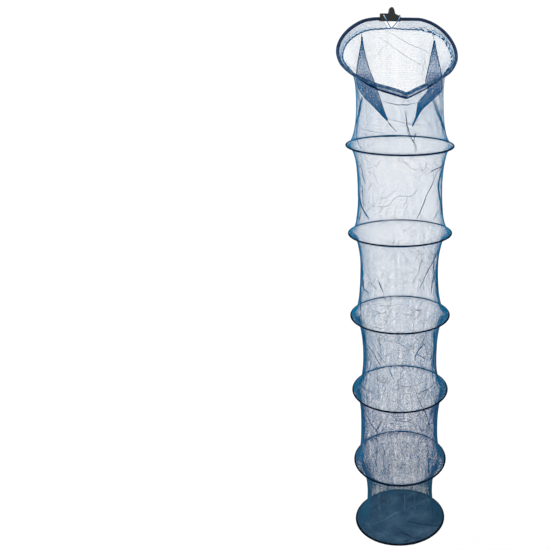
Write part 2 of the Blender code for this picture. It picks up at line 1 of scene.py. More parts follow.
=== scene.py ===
# Looks of the hooped keep net: netting as real thread, stitched hems, ribbed sleeve, cord, bracket and tail.
import json
import math
import bpy
import numpy as np
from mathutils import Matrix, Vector

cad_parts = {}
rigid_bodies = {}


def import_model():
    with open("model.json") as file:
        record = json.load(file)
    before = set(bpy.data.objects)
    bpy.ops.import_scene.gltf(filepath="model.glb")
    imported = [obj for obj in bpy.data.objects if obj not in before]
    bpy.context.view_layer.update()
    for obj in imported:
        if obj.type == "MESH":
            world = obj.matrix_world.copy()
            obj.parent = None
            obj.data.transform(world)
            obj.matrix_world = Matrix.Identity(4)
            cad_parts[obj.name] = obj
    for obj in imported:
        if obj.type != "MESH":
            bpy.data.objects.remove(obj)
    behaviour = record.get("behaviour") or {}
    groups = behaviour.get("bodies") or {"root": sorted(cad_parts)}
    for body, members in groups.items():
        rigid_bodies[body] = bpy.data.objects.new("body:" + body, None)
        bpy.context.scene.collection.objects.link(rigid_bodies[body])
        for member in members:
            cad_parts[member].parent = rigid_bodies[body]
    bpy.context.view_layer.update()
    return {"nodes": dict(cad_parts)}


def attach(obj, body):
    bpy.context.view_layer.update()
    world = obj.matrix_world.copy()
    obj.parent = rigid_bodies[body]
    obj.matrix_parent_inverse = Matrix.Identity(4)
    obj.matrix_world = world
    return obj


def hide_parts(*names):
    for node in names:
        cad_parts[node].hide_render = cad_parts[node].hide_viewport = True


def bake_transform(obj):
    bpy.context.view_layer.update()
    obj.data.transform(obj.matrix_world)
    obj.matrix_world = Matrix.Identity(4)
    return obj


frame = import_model()
scene = bpy.context.scene
scene.view_settings.view_transform = "Standard"
scene.view_settings.look = "None"

# ---------------------------------------------------------------- dimensions, as in the CAD model
BAR_Y, BAR_Z = -0.0100, -0.0265
FRAME_TILT = math.radians(45.0)
TUBE_R, WRAP_R = 0.0045, 0.0056
AXIS_Y = BAR_Y - 0.139
HEM_R = 0.0039
HOOP_R = 0.380 / 2 - HEM_R
HOOP_Z = (-0.4390, -0.7516, -1.0715, -1.3884, -1.7123, -2.0090)
HOOP_TILT = (3.4, 0.0, 0.0, 0.0, 0.0, -4.3)
CHEM_R, CORD_R, CHEM_PTS = 0.0032, 0.0016, 44
BLOCK_LEFT, BLOCK_RIGHT = -0.0420, 0.0310
SEAM = 0.0036
GAP = 0.0003
OUTLINE = [(0.0000, 0.0000), (0.0450, 0.0000), (0.0800, 0.0000), (0.1080, 0.0025), (0.1423, 0.0202), (0.1725, 0.0525),
           (0.1923, 0.0927), (0.2015, 0.1370), (0.1990, 0.1760), (0.1879, 0.2074), (0.1640, 0.2420), (0.1282, 0.2694),
           (0.0900, 0.2912), (0.0509, 0.3110), (0.0140, 0.3318), (0.0000, 0.3372), (-0.0140, 0.3305), (-0.0523, 0.3136),
           (-0.0930, 0.2980), (-0.1311, 0.2760), (-0.1670, 0.2495), (-0.1939, 0.2129), (-0.2036, 0.1750), (-0.2005, 0.1360),
           (-0.1855, 0.0973), (-0.1635, 0.0645), (-0.1360, 0.0362), (-0.1020, 0.0125), (-0.0700, 0.0025), (-0.0450, 0.0000)]
B = Vector((0.0, BAR_Y, BAR_Z))

# ---------------------------------------------------------------- camera
AZ, DOWN, DIST, CAM_Z = math.radians(-12.0), math.radians(19.0), 2.167, BAR_Z - 0.1515
cam = bpy.data.objects.new("camera", bpy.data.cameras.new("camera"))
scene.collection.objects.link(cam)
cam.location = (DIST * math.sin(AZ), AXIS_Y - DIST * math.cos(AZ), CAM_Z)
aim = Vector((-math.sin(AZ) * math.cos(DOWN), math.cos(AZ) * math.cos(DOWN), -math.sin(DOWN)))
cam.rotation_mode = "QUATERNION"
cam.rotation_quaternion = aim.to_track_quat("-Z", "Y")
cam.data.sensor_width = 36.0
cam.data.lens = 36.0 * 615.0 / 550.0
cam.data.shift_x = (275.0 - 400.0) / 550.0
cam.data.shift_y = (277.0 - 275.0) / 550.0
cam.data.clip_start, cam.data.clip_end = 0.05, 500.0
scene.camera = cam


# ---------------------------------------------------------------- lines of the frame and its hem
def catmull(points, per, closed):
    p = [Vector(q) for q in points]
    n = len(p)
    out = []
    for i in range(n if closed else n - 1):
        if closed:
            a, b, c, d = p[i - 1], p[i], p[(i + 1) % n], p[(i + 2) % n]
        else:
            b, c = p[i], p[i + 1]
            a = p[i - 1] if i else b * 2 - c
            d = p[i + 2] if i + 2 < n else c * 2 - b
        for k in range(per):
            t = k / per
            out.append(0.5 * (b * 2 + (c - a) * t + (a * 2 - b * 5 + c * 4 - d) * t * t
                              + (b * 3 - a - c * 3 + d) * t ** 3))
    if not closed:
        out.append(p[-1].copy())
    return out


def resample(points, count):
    s = [0.0]
    for a, b in zip(points, points[1:]):
        s.append(s[-1] + (b - a).length)
    out, j = [], 0
    for i in range(count):
        w = s[-1] * i / (count - 1)
        while j < len(s) - 2 and s[j + 1] < w:
            j += 1
        t = (w - s[j]) / max(1e-12, s[j + 1] - s[j])
        out.append(points[j].lerp(points[j + 1], t))
    return out


def slope(x, v):
    return Vector((x, BAR_Y - v * math.sin(FRAME_TILT), BAR_Z - v * math.cos(FRAME_TILT)))


LOOP = [slope(p.x, max(0.0, p.y)) for p in catmull([Vector((x, v, 0.0)) for x, v in OUTLINE], 12, True)]
FINE = resample(LOOP + [LOOP[0]], 721)[:-1]
N_FINE = len(FINE)


def inward(i, span=14):
    a, b = FINE[(i - span) % N_FINE], FINE[(i + span) % N_FINE]
    t = Vector((b.x - a.x, b.y - a.y, 0.0))
    n = Vector((-t.y, t.x, 0.0)).normalized()
    c = Vector((-FINE[i].x, AXIS_Y - FINE[i].y, 0.0))
    return n if n.dot(c) > 0 else -n


# Where the collar's hem runs, by the distance v down the slope: how far it is in from the frame's line, and how far below
# it. It hangs at the back, is drawn in at the sides, and lies close behind and under the tube in front.
HEM_V = (0.0, 0.03, 0.06, 0.10, 0.14, 0.17, 0.20, 0.22, 0.245, 0.27, 0.29, 0.31, 0.325, 0.34)
HEM_IN = {1: (0.0, 0.0020, 0.0065, 0.0125, 0.0150, 0.0155, 0.0150, 0.0145, 0.0135, 0.0120, 0.0085, 0.0050, 0.0040, 0.0045),
          -1: (0.0, 0.0000, 0.0030, 0.0110, 0.0160, 0.0160, 0.0150, 0.0145, 0.0135, 0.0120, 0.0085, 0.0050, 0.0040, 0.0045)}
HEM_DROP = {1: (0.033, 0.0280, 0.0220, 0.0225, 0.0185, 0.0090, 0.0000, -0.0025, 0.0005, 0.0060, 0.0105, 0.0135, 0.0135, 0.0125),
            -1: (0.033, 0.0335, 0.0325, 0.0310, 0.0245, 0.0120, 0.0005, -0.0030, -0.0005, 0.0060, 0.0105, 0.0138, 0.0140, 0.0125)}


def between(x, xs, ys):
    """Straight lines between the points of a table."""
    if x <= xs[0]:
        return ys[0]
    for x0, x1, y0, y1 in zip(xs, xs[1:], ys, ys[1:]):
        if x <= x1:
            return y0 + (y1 - y0) * (x - x0) / (x1 - x0)
    return ys[-1]


def hem_loop():
    v = [(BAR_Z - p.z) / math.cos(FRAME_TILT) for p in FINE]
    side = [1 if p.x >= 0 else -1 for p in FINE]
    rise = [0.003 * math.exp(-(p.x / 0.03) ** 2) if w < 0.02 else 0.0 for p, w in zip(FINE, v)]
    far = [between(w, HEM_V, HEM_IN[n]) for w, n in zip(v, side)]
    drop = [between(w, HEM_V, HEM_DROP[n]) - r for w, n, r in zip(v, side, rise)]
    for _ in range(30):
        far = [(far[i - 1] + 2 * far[i] + far[(i + 1) % N_FINE]) / 4 for i in range(N_FINE)]
        drop = [(drop[i - 1] + 2 * drop[i] + drop[(i + 1) % N_FINE]) / 4 for i in range(N_FINE)]
    return [p + inward(i) * far[i] + Vector((0, 0, -drop[i])) for i, p in enumerate(FINE)]


N_FINE = len(FINE)
HEM_LOOP = hem_loop()
HEM_GAP = 0.0060
HEM_LINE = resample([p for p in HEM_LOOP if not (abs(p.x) < HEM_GAP and p.y > AXIS_Y)], CHEM_PTS)

# ---------------------------------------------------------------- drawstring, on its CAD route
CORD_HOLE = (-0.0300, 0.0108)
KNOT_R = 0.0033
start, end = HEM_LINE[0], HEM_LINE[-1]


def out_of_hem(p, side, y):
    return [p + Vector((-0.0022 * side, y * 0.12, 0.0)), Vector((0.0, p.y + y, p.z + 0.0010)),
            Vector((-0.0046 * side, p.y + y * 1.15, p.z + 0.0052))]


left_leg = catmull([B + Vector((CORD_HOLE[0], 0.0042 - KNOT_R - GAP, CORD_HOLE[1])),
                    B + Vector((CORD_HOLE[0], -0.0070, CORD_HOLE[1])),
                    B + Vector((CORD_HOLE[0] + 0.0004, -0.0118, CORD_HOLE[1] - 0.0006)),
                    B + Vector((CORD_HOLE[0] + 0.0038, -0.0130, CORD_HOLE[1] - 0.0062)),
                    B + Vector((-0.0170, -0.0130, -0.0110))]
                   + list(reversed(out_of_hem(start, 1, 0.0023))) + [start], 5, False)
right_leg = catmull([end] + out_of_hem(end, -1, -0.0023)
                    + [B + Vector((0.0170, -0.0130, -0.0095)),
                       B + Vector((0.0268, -0.0130, 0.0062)),
                       B + Vector((0.0284, -0.0108, 0.0124)),
                       B + Vector((0.0287, -0.0040, 0.0134)),
                       B + Vector((0.0286, 0.0004, 0.0132)),
                       B + Vector((0.0285, 0.0045 - KNOT_R * 0.78 - GAP, 0.0106 + KNOT_R * 0.62 + GAP))], 5, False)
CORD_PATH = left_leg[:-1] + HEM_LINE + right_leg[1:]


# ---------------------------------------------------------------- mesh helpers
def arr(points):
    return np.array([tuple(p) for p in points], float)


def unit(v):
    return v / np.maximum(np.linalg.norm(v, axis=-1, keepdims=True), 1e-12)


def smooth01(x):
    x = np.clip(x, 0, 1)
    return x * x * (3 - 2 * x)


def build(name, co, faces, uv=None, smooth=True):
    """A mesh object from a point array and a face array of one size, with one UV corner per loop."""
    me = bpy.data.meshes.new(name)
    co = np.asarray(co, np.float32).reshape(-1, 3)
    faces = np.asarray(faces, np.int32)
    me.vertices.add(len(co))
    me.vertices.foreach_set("co", co.ravel())
    me.loops.add(faces.size)
    me.loops.foreach_set("vertex_index", faces.ravel())
    me.polygons.add(len(faces))
    me.polygons.foreach_set("loop_start", np.arange(0, faces.size, faces.shape[1], dtype=np.int32))
    me.update(calc_edges=True)
    if uv is not None:
        layer = me.uv_layers.new(name="OFBake")
        layer.data.foreach_set("uv", np.asarray(uv, np.float32).ravel())
    me.validate()
    if smooth:
        me.shade_smooth()
    ob = bpy.data.objects.new(name, me)
    scene.collection.objects.link(ob)
    return ob


def strand_mesh(p0, p1, n0, n1, r0, r1, uv0, uv1, uv_w, sides=3):
    """Straight threads from p0 to p1 as prisms; returns points, quads and their UV corners."""
    t = unit(p1 - p0)
    rings = []
    for p, n, r in ((p0, n0, r0), (p1, n1, r1)):
        m = unit(n - (n * t).sum(-1, keepdims=True) * t)
        b = np.cross(t, m)
        ring = [p + r[:, None] * (math.cos(q) * m + math.sin(q) * b)
                for q in (2 * math.pi * (k + 0.25) / sides for k in range(sides))]
        rings.append(np.stack(ring, 1))
    co = np.stack(rings, 1)                       # strand, end, side, xyz
    s = len(p0)
    base = (np.arange(s) * 2 * sides)[:, None]
    k = np.arange(sides)
    k2 = (k + 1) % sides
    quads = np.stack([base + k, base + k2, base + sides + k2, base + sides + k], -1).reshape(-1, 4)
    along = unit(uv1 - uv0)
    side = np.stack([-along[:, 1], along[:, 0]], -1) * uv_w
    uv = np.zeros((s, sides, 4, 2))
    for q in range(sides):
        lo, hi = side * (q / sides - 0.5), side * ((q + 1) / sides - 0.5)
        uv[:, q, 0], uv[:, q, 1], uv[:, q, 2], uv[:, q, 3] = uv0 + lo, uv0 + hi, uv1 + hi, uv1 + lo
    return co.reshape(-1, 3), quads, uv.reshape(-1, 2)


def hex_lattice(cells, rows, closed):
    """Nodes (u, v) and edges of a hexagonal mesh: u in cells across, v in rows down."""
    cols = 2 * cells if closed else 2 * cells + 1
    i, j = np.meshgrid(np.arange(rows + 1), np.arange(cols), indexing="ij")
    low = (i + j) % 2 == 0
    u = j / 2.0
    v = i + np.where(low, 1.0, -1.0) / 6.0
    v = np.where(i == 0, 0.0, np.where(i == rows, float(rows), v))
    ident = i * cols + j
    edges = []
    nj = (j + 1) % cols
    if closed:
        edges.append(np.stack([ident, i * cols + nj], -1).reshape(-1, 2))
    else:
        edges.append(np.stack([ident[:, :-1], ident[:, 1:]], -1).reshape(-1, 2))
    down = low[:-1]
    edges.append(np.stack([ident[:-1][down], ident[1:][down]], -1))
    return u.ravel(), v.ravel(), np.concatenate(edges), cols


def wave_field(seed, count, around, along):
    """A smooth field of angle and height made of sines with whole numbers of waves around."""
    rng = np.random.default_rng(seed)
    m = rng.integers(around[0], around[1] + 1, count)
    q = rng.uniform(along[0], along[1], count) * rng.choice([-1.0, 1.0], count)
    ph = rng.uniform(0, 2 * math.pi, count)
    am = rng.uniform(0.5, 1.0, count) / math.sqrt(count)

    def f(a, z):
        return sum(am[n] * np.sin(m[n] * a + q[n] * z + ph[n]) for n in range(count))
    return f


def fold_lines(s, z, period, lines):
    """Moves surface coordinates (s around, z along, metres) towards crease lines, and gives the offset off the surface.
    Each line is (points, pull, width, ridge): a pull over 1 folds the netting over itself along the line."""
    s, z = s.copy(), z.copy()
    off = np.zeros_like(s)
    for points, pull, width, ridge in lines:
        q = arr(resample(catmull([Vector((x, y, 0)) for x, y in points], 6, False), 6 * len(points)))[:, :2]
        ref = q[:, 0].mean()
        ds = (s - ref + period / 2) % period - period / 2 + ref if period else s
        near = (ds > q[:, 0].min() - 4 * width) & (ds < q[:, 0].max() + 4 * width) \
            & (z > q[:, 1].min() - 4 * width) & (z < q[:, 1].max() + 4 * width)
        if not near.any():
            continue
        x, y = ds[near], z[near]
        best = np.full(len(x), 1e9)
        cx, cy, sd, run = (np.zeros(len(x)) for _ in range(4))
        seg = np.linalg.norm(np.diff(q, axis=0), axis=1)
        total, done = seg.sum(), 0.0
        for (ax, ay), (bx, by), ln in zip(q, q[1:], seg):
            if ln < 1e-9:
                continue
            ux, uy = (bx - ax) / ln, (by - ay) / ln
            w = np.clip((x - ax) * ux + (y - ay) * uy, 0, ln)
            px, py = ax + ux * w, ay + uy * w
            d = np.hypot(x - px, y - py)
            hit = d < best
            best[hit], cx[hit], cy[hit] = d[hit], px[hit], py[hit]
            sd[hit] = ((x - ax) * uy - (y - ay) * ux)[hit]
            run[hit] = (done + w)[hit]
            done += ln
        fade = smooth01(run / (2.5 * width)) * smooth01((total - run) / (2.5 * width))
        g = np.exp(-(best / width) ** 2) * fade
        s[near] += (cx - x) * pull * g
        z[near] += (cy - y) * pull * g
        off[near] += ridge * g * (0.35 + 1.9 * sd / width)
    return s, z, off


# ---------------------------------------------------------------- netting surfaces
def hoop_point(k, a, dr, dz):
    t = math.radians(HOOP_TILT[k])
    x, y = (HOOP_R - dr) * np.cos(a), (HOOP_R - dr) * np.sin(a)
    return np.stack([x, AXIS_Y + y * math.cos(t) - dz * math.sin(t), HOOP_Z[k] + y * math.sin(t) + dz * math.cos(t)], -1)


WAIST = ((0.780, 0.780), (0.802, 0.797), (0.740, 0.785), (0.758, 0.752), (0.815, 0.835), (0.708, 0.708))
LEAN = (0.0, -0.006, 0.026, 0.013, 0.018, 0.0)
LEAN_AT = math.radians(168.0)
HEM_ARR = arr(HEM_LOOP)
_tan = unit(np.roll(HEM_ARR, -1, 0) - np.roll(HEM_ARR, 1, 0))
_down = np.array([0, 0, -1.0])
HEM_DOWN = unit(_down - _tan * (_tan @ _down)[:, None])
BULGE = [wave_field(100 + k, 7, (2, 6), (4, 16)) for k in range(6)]
RIPPLE = [wave_field(200 + k, 9, (9, 24), (8, 30)) for k in range(6)]


def flare(d, short, near, far):
    return short * np.exp(-d / near) + (1 - short) * np.exp(-d / far)


def wall(k, a, t):
    """Point of wall k (0 is the one under the mouth) at angle or hem share a (0 to 2 pi) and height share t."""
    if k == 0:
        w = (a / (2 * math.pi)) % 1.0 * N_FINE
        i = np.floor(w).astype(int) % N_FINE
        f = (w - np.floor(w))[:, None]
        j = (i + 1) % N_FINE
        top = HEM_ARR[i] * (1 - f) + HEM_ARR[j] * f + (HEM_DOWN[i] * (1 - f) + HEM_DOWN[j] * f) * (CHEM_R * 0.85)
        rel = top[:, :2] - np.array([0, AXIS_Y])
        rp, ap = np.hypot(rel[:, 0], rel[:, 1]), np.arctan2(rel[:, 1], rel[:, 0])
        low = hoop_point(0, ap, SEAM, SEAM)
        waist = WAIST[0][0] * HOOP_R
        r1 = np.hypot(low[:, 0], low[:, 1] - AXIS_Y)
        tall = top[:, 2] - low[:, 2]
        z = top[:, 2] - tall * t
        far = np.where(rp > waist, 0.030, 0.070)
        rho = waist + (rp - waist) * (np.exp(-tall * t / far) - t * np.exp(-tall / far)) \
            + (r1 - waist) * (flare(tall * (1 - t), 0.20, 0.006, 0.055) - (1 - t) * flare(tall, 0.20, 0.006, 0.055))
        mid = smooth01(np.minimum(t, 1 - t) * (top[:, 2] - low[:, 2]) / 0.05)
        rho = rho * (1 + mid * (0.010 * BULGE[0](ap, z) + 0.004 * RIPPLE[0](ap, z)))
        return np.stack([rho * np.cos(ap), AXIS_Y + rho * np.sin(ap), z], -1)
    top, low = hoop_point(k - 1, a, SEAM, -SEAM), hoop_point(k, a, SEAM, SEAM)
    ln = HOOP_Z[k - 1] - HOOP_Z[k]
    p = top * (1 - t)[:, None] + low * t[:, None]
    w = WAIST[k][0] + (WAIST[k][1] - WAIST[k][0]) * t
    f = w + (1 - w) * (flare(t * ln, 0.34, 0.006, 0.060) + flare((1 - t) * ln, 0.42, 0.014, 0.060))
    mid = smooth01(np.minimum(t, 1 - t) * ln / 0.05)
    f = np.minimum(f, 1.0) * (1 + mid * (0.014 * BULGE[k](a, p[:, 2]) + 0.005 * RIPPLE[k](a, p[:, 2])))
    f = f * (1 + LEAN[k] * np.cos(a - LEAN_AT) * np.minimum(1.0, 4 * t * (1 - t)))
    return np.stack([p[:, 0] * f, AXIS_Y + (p[:, 1] - AXIS_Y) * f, p[:, 2]], -1)


def normals(k, a, t, e=1e-3):
    du = wall(k, a + e, t) - wall(k, a - e, t)
    dv = wall(k, a, np.minimum(t + e, 1)) - wall(k, a, np.maximum(t - e, 0))
    return unit(np.cross(dv, du))


# Crease lines of each wall: points (angle in degrees, height share), pull, width and ridge in metres.
CREASES = {
    0: [([(226, 0.22), (233, 0.49), (244, 0.69)], 1.9, 0.0266, 0.0015),
        ([(152, 0.18), (147, 0.54), (130, 0.9)], 1.9, 0.0266, 0.0015),
        ([(202, 0.15), (196, 0.15), (190, 0.15), (183, 0.12), (177, 0.11), (171, 0.13)], 0.95, 0.008, 0.0),
        ([(201, 0.39), (192, 0.43), (182, 0.46), (170, 0.52)], 0.6, 0.006, 0.001),
        ([(222, 0.69), (208, 0.67), (199, 0.67)], 0.6, 0.006, 0.001),
        ([(183, 0.22), (182, 0.52), (181, 0.66), (179, 0.79), (178, 0.88), (179, 0.97)], 0.9, 0.008, 0.001),
        ([(177, 0.63), (178, 0.71), (179, 0.79)], 0.9, 0.008, 0.001),
        ([(196, 0.47), (193, 0.55), (190, 0.62)], 0.9, 0.008, 0.001),
        ([(353, 0.01), (369, 0.08), (388, 0.15), (414, 0.17)], 0.6, 0.006, 0.001),
        ([(347, 0.07), (364, 0.17), (381, 0.26), (404, 0.32)], 0.6, 0.006, 0.001),
        ([(0, 0.06), (-1, 0.23), (-1, 0.44)], 0.5, 0.006, 0.001)],
    1: [([(182, 0.45), (192, 0.61), (204, 0.71), (212, 0.76)], 1.5, 0.019, 0.0015),
        ([(341, 0.14), (326, 0.18), (312, 0.23)], 0.9, 0.009, 0.001),
        ([(341, 0.18), (309, 0.19), (295, 0.23)], 0.9, 0.009, 0.001),
        ([(312, 0.23), (306, 0.34), (295, 0.47), (291, 0.56), (280, 0.73)], 0.9, 0.009, 0.001),
        ([(328, 0.21), (322, 0.3), (319, 0.4), (323, 0.5), (328, 0.6), (334, 0.77)], 2.1, 0.0247, 0.002),
        ([(176, 0.24), (176, 0.38), (182, 0.54), (182, 0.67), (173, 0.83)], 1.6, 0.019, 0.001),
        ([(211, 0.66), (218, 0.61), (242, 0.58), (253, 0.47), (272, 0.46), (280, 0.4), (288, 0.43)], 0.55, 0.006, 0.001),
        ([(214, 0.19), (224, 0.15), (230, 0.13), (235, 0.06)], 0.6, 0.006, 0.001)],
    2: [([(323, 0.18), (311, 0.28), (301, 0.38), (286, 0.55)], 0.95, 0.009, 0.001),
        ([(331, 0.32), (317, 0.45), (310, 0.65)], 1.2, 0.0152, 0.001),
        ([(317, 0.45), (325, 0.54), (339, 0.67)], 0.9, 0.009, 0.001),
        ([(189, 0.4), (189, 0.51), (193, 0.6), (207, 0.63)], 2.2, 0.0209, 0.002),
        ([(227, 0.45), (234, 0.58)], 0.8, 0.006, 0.001),
        ([(210, 0.49), (224, 0.55)], 0.8, 0.006, 0.001),
        ([(175, 0.21), (182, 0.32), (182, 0.44)], 1.3, 0.0171, 0.001),
        ([(321, 0.14), (330, 0.31), (332, 0.46), (336, 0.62)], 1.4, 0.0171, 0.001)],
    3: [([(122, 0.02), (96, 0.08), (69, 0.06)], 0.6, 0.006, 0.001),
        ([(203, 0.28), (218, 0.38), (227, 0.49)], 0.9, 0.009, 0.001),
        ([(226, 0.1), (247, 0.14), (260, 0.17)], 0.55, 0.006, 0.001),
        ([(294, 0.23), (283, 0.32), (281, 0.42)], 0.9, 0.009, 0.001),
        ([(283, 0.32), (300, 0.44)], 0.9, 0.009, 0.001),
        ([(197, 0.13), (194, 0.32), (192, 0.53), (184, 0.75)], 1.9, 0.0228, 0.0015),
        ([(314, 0.11), (323, 0.32), (324, 0.53), (327, 0.65)], 1.9, 0.0228, 0.0015)],
    4: [([(93, 0.01), (88, 0.15)], 0.8, 0.006, 0.001),
        ([(193, 0.12), (206, 0.23), (221, 0.34), (226, 0.39)], 1.2, 0.0152, 0.0015),
        ([(196, 0.3), (177, 0.68)], 1., 0.0105, 0.001),
        ([(233, 0.18), (221, 0.38)], 0.9, 0.009, 0.001),
        ([(286, 0.02), (294, 0.09), (307, 0.34), (316, 0.46)], 1.2, 0.0152, 0.0015),
        ([(285, 0.24), (291, 0.37)], 0.9, 0.009, 0.001),
        ([(152, 0.05), (120, 0.29)], 0.8, 0.006, 0.001),
        ([(18, 0.05), (26, 0.17), (47, 0.31)], 0.8, 0.006, 0.001),
        ([(53, 0.28), (44, 0.45), (29, 0.59)], 0.8, 0.006, 0.001),
        ([(196, 0.14), (185, 0.37), (180, 0.66)], 1.5, 0.019, 0.001),
        ([(320, 0.14), (327, 0.35), (323, 0.59)], 1.5, 0.019, 0.001)],
    5: [([(113, 0.0), (124, 0.23), (136, 0.4)], 1.1, 0.0105, 0.0015),
        ([(29, 0.02), (34, 0.12)], 0.9, 0.009, 0.001),
        ([(149, 0.03), (176, 0.14), (148, 0.48)], 1.3, 0.0171, 0.001),
        ([(17, 0.17), (13, 0.4)], 1.3, 0.0171, 0.001),
        ([(220, 0.31), (220, 0.62)], 1.4, 0.019, 0.002),
        ([(240, 0.28), (240, 0.6)], 1.4, 0.0171, 0.002),
        ([(267, 0.26), (268, 0.59)], 1.4, 0.019, 0.002),
        ([(284, 0.28), (285, 0.59)], 1.3, 0.0171, 0.002),
        ([(311, 0.37), (312, 0.67)], 1.3, 0.019, 0.002)],
}

STRIPS = []
for k in range(6):
    _g = np.random.default_rng(700 + k)
    STRIPS.append([(int(_g.integers(5, 40)), float(_g.uniform(-9, 9)), float(_g.uniform(0, 6.28)), float(_g.uniform(0.04, 0.10)))
                   for _ in range(9)])
CELLS = (216, 216, 216, 280, 280, 280)            # meshes around
ROW = (0.0046, 0.0046, 0.0046, 0.0038, 0.0038, 0.0038)
THREAD = (0.00029, 0.00025, 0.00033, 0.00040, 0.00048, 0.00060)      # thread radius
SIDES = ((0.0, 0.0), (0.48, 0.02), (0.52, 0.05), (0.52, 0.06), (0.46, 0.08), (0.15, 0.10))    # how far the meshes are pushed together at the two sides
SIDE_AT = math.radians(168.0)


def even_rows(k):
    """Height shares whose spacing is even along the wall's surface, and the surface's length."""
    t = np.linspace(0, 1, 400)
    total = np.zeros(400)
    for a in np.linspace(0, 2 * math.pi, 8, endpoint=False):
        p = wall(k, np.full(400, a), t)
        total += np.concatenate([[0], np.cumsum(np.linalg.norm(np.diff(p, axis=0), axis=1))]) / 8
    return total / total[-1], t, total[-1]


def fold_threads(k, ln, rad):
    """Threads bunched along the creases, at the two sides and in small wrinkles, as end points, radii, angles and kind:
    0 for netting lying double, 1 for a sharp fold whose dark thread is painted shade."""
    rng = np.random.default_rng(800 + k)
    lines = []
    for pts, pull, width, ridge in CREASES[k]:
        if pull <= 0.5:
            continue
        if pull < 0.7:
            lines.append((pts, 1, 0.00058, 0.0, 1))
        elif pull < 1.3:
            lines.append((pts, 3, 0.00088, 0.0014, 1))
        else:
            lines += [(pts, 9, 0.00080, 0.0120, 0), (pts, 2, 0.00085, 0.0030, 1)]

    def wander(a, t, lean, step, count, turn):
        pts = []
        for _ in range(count):
            pts.append((a, min(max(t, 0.02), 0.98)))
            a += math.degrees(step * math.sin(lean) / rad)
            t += step * math.cos(lean) / ln
            lean += rng.normal(0, turn)
        return pts

    for _ in range(WRINKLES[k]):
        pts = wander(rng.uniform(0, 360), rng.uniform(0.06, 0.9), rng.uniform(-1.2, 1.2), rng.uniform(0.008, 0.020),
                     int(rng.integers(4, 8)), 0.40)
        lines.append((pts, 1, rng.uniform(*WRINKLE_R[k]), 0.0, 1))
    for side in (168.0, 348.0):
        for _ in range(SIDE_FOLDS[k]):
            a = side + rng.uniform(-1, 1) * rng.uniform(4, 34)
            if k == 0:
                a = math.degrees(SHARE_AT[int(round(a)) % 360])
            pts = wander(a, rng.uniform(0.03, 0.75), rng.uniform(-0.35, 0.35), rng.uniform(0.010, 0.022), int(rng.integers(4, 9)), 0.22)
            lines.append((pts, int(rng.integers(1, 4)), rng.uniform(0.00045, 0.00095), 0.004, int(rng.random() < 0.38)))
    out = [[] for _ in range(8)]
    for pts, count, radius, spread, kind in lines:
        q = arr(resample(catmull([Vector((math.radians(x), y, 0)) for x, y in pts], 5, False), 5 * len(pts)))[:, :2]
        for _ in range(count):
            m = len(q)
            wob = np.convolve(rng.normal(0, 2.2, m + 6), np.ones(7) / 7, "valid")
            a = q[:, 0] + (rng.uniform(-0.5, 0.5) * spread + wob * 0.0009) / rad
            t = np.clip(q[:, 1] + wob[::-1] * 0.0006 / ln, 0.0, 1.0)
            p = wall(k, a, t)
            n = normals(k, a, t)
            r = radius * (0.35 + 0.65 * np.sin(np.linspace(0.12, math.pi - 0.12, m)))
            p = p + n * 0.0003
            for lst, v in zip(out, (p[:-1], p[1:], n[:-1], n[1:], r[:-1], r[1:], a[:-1], np.full(m - 1, kind))):
                lst.append(v)
    out = [np.concatenate(v) for v in out]
    order = np.argsort(out[7], kind="stable")
    return [v[order] for v in out]


def speckle(rng, rows, cols, grain, streak):
    """How much thicker or thinner the thread looks from mesh to mesh: a fine grain, and upright streaks."""
    w = rng.normal(0, 1, (rows + 1, cols))
    w = (w + np.roll(w, 1, 1)) / math.sqrt(2)
    c = rng.normal(0, 1, (7, cols))
    c = (c + np.roll(c, 1, 1) + np.roll(c, -1, 1)) / math.sqrt(3)
    at = np.linspace(0, 6, rows + 1)
    lo = np.minimum(at.astype(int), 5)
    f = (at - lo)[:, None]
    return np.clip(1 + grain * w + streak * (c[lo] * (1 - f) + c[lo + 1] * f), 0.3, 2.2).ravel()


FOLDED = {}
WRINKLES = (60, 90, 120, 150, 150, 40)             # small wrinkles
WRINKLE_R = ((0.00020, 0.00045), (0.00022, 0.00050), (0.00026, 0.00062), (0.00032, 0.00075), (0.00034, 0.00080), (0.0003, 0.0006))
SIDE_FOLDS = (5, 26, 40, 58, 54, 20)             # upright folds at each of the two sides
SPECKLE = ((0.12, 0.08), (0.14, 0.12), (0.18, 0.16), (0.23, 0.18), (0.26, 0.20), (0.22, 0.15))
_ha = (np.degrees(np.arctan2(HEM_ARR[:, 1] - AXIS_Y, HEM_ARR[:, 0])) % 360)
SHARE_AT = [2 * math.pi * int(np.argmin(np.abs((_ha - d + 180) % 360 - 180))) / N_FINE for d in range(360)]      # hem share by direction


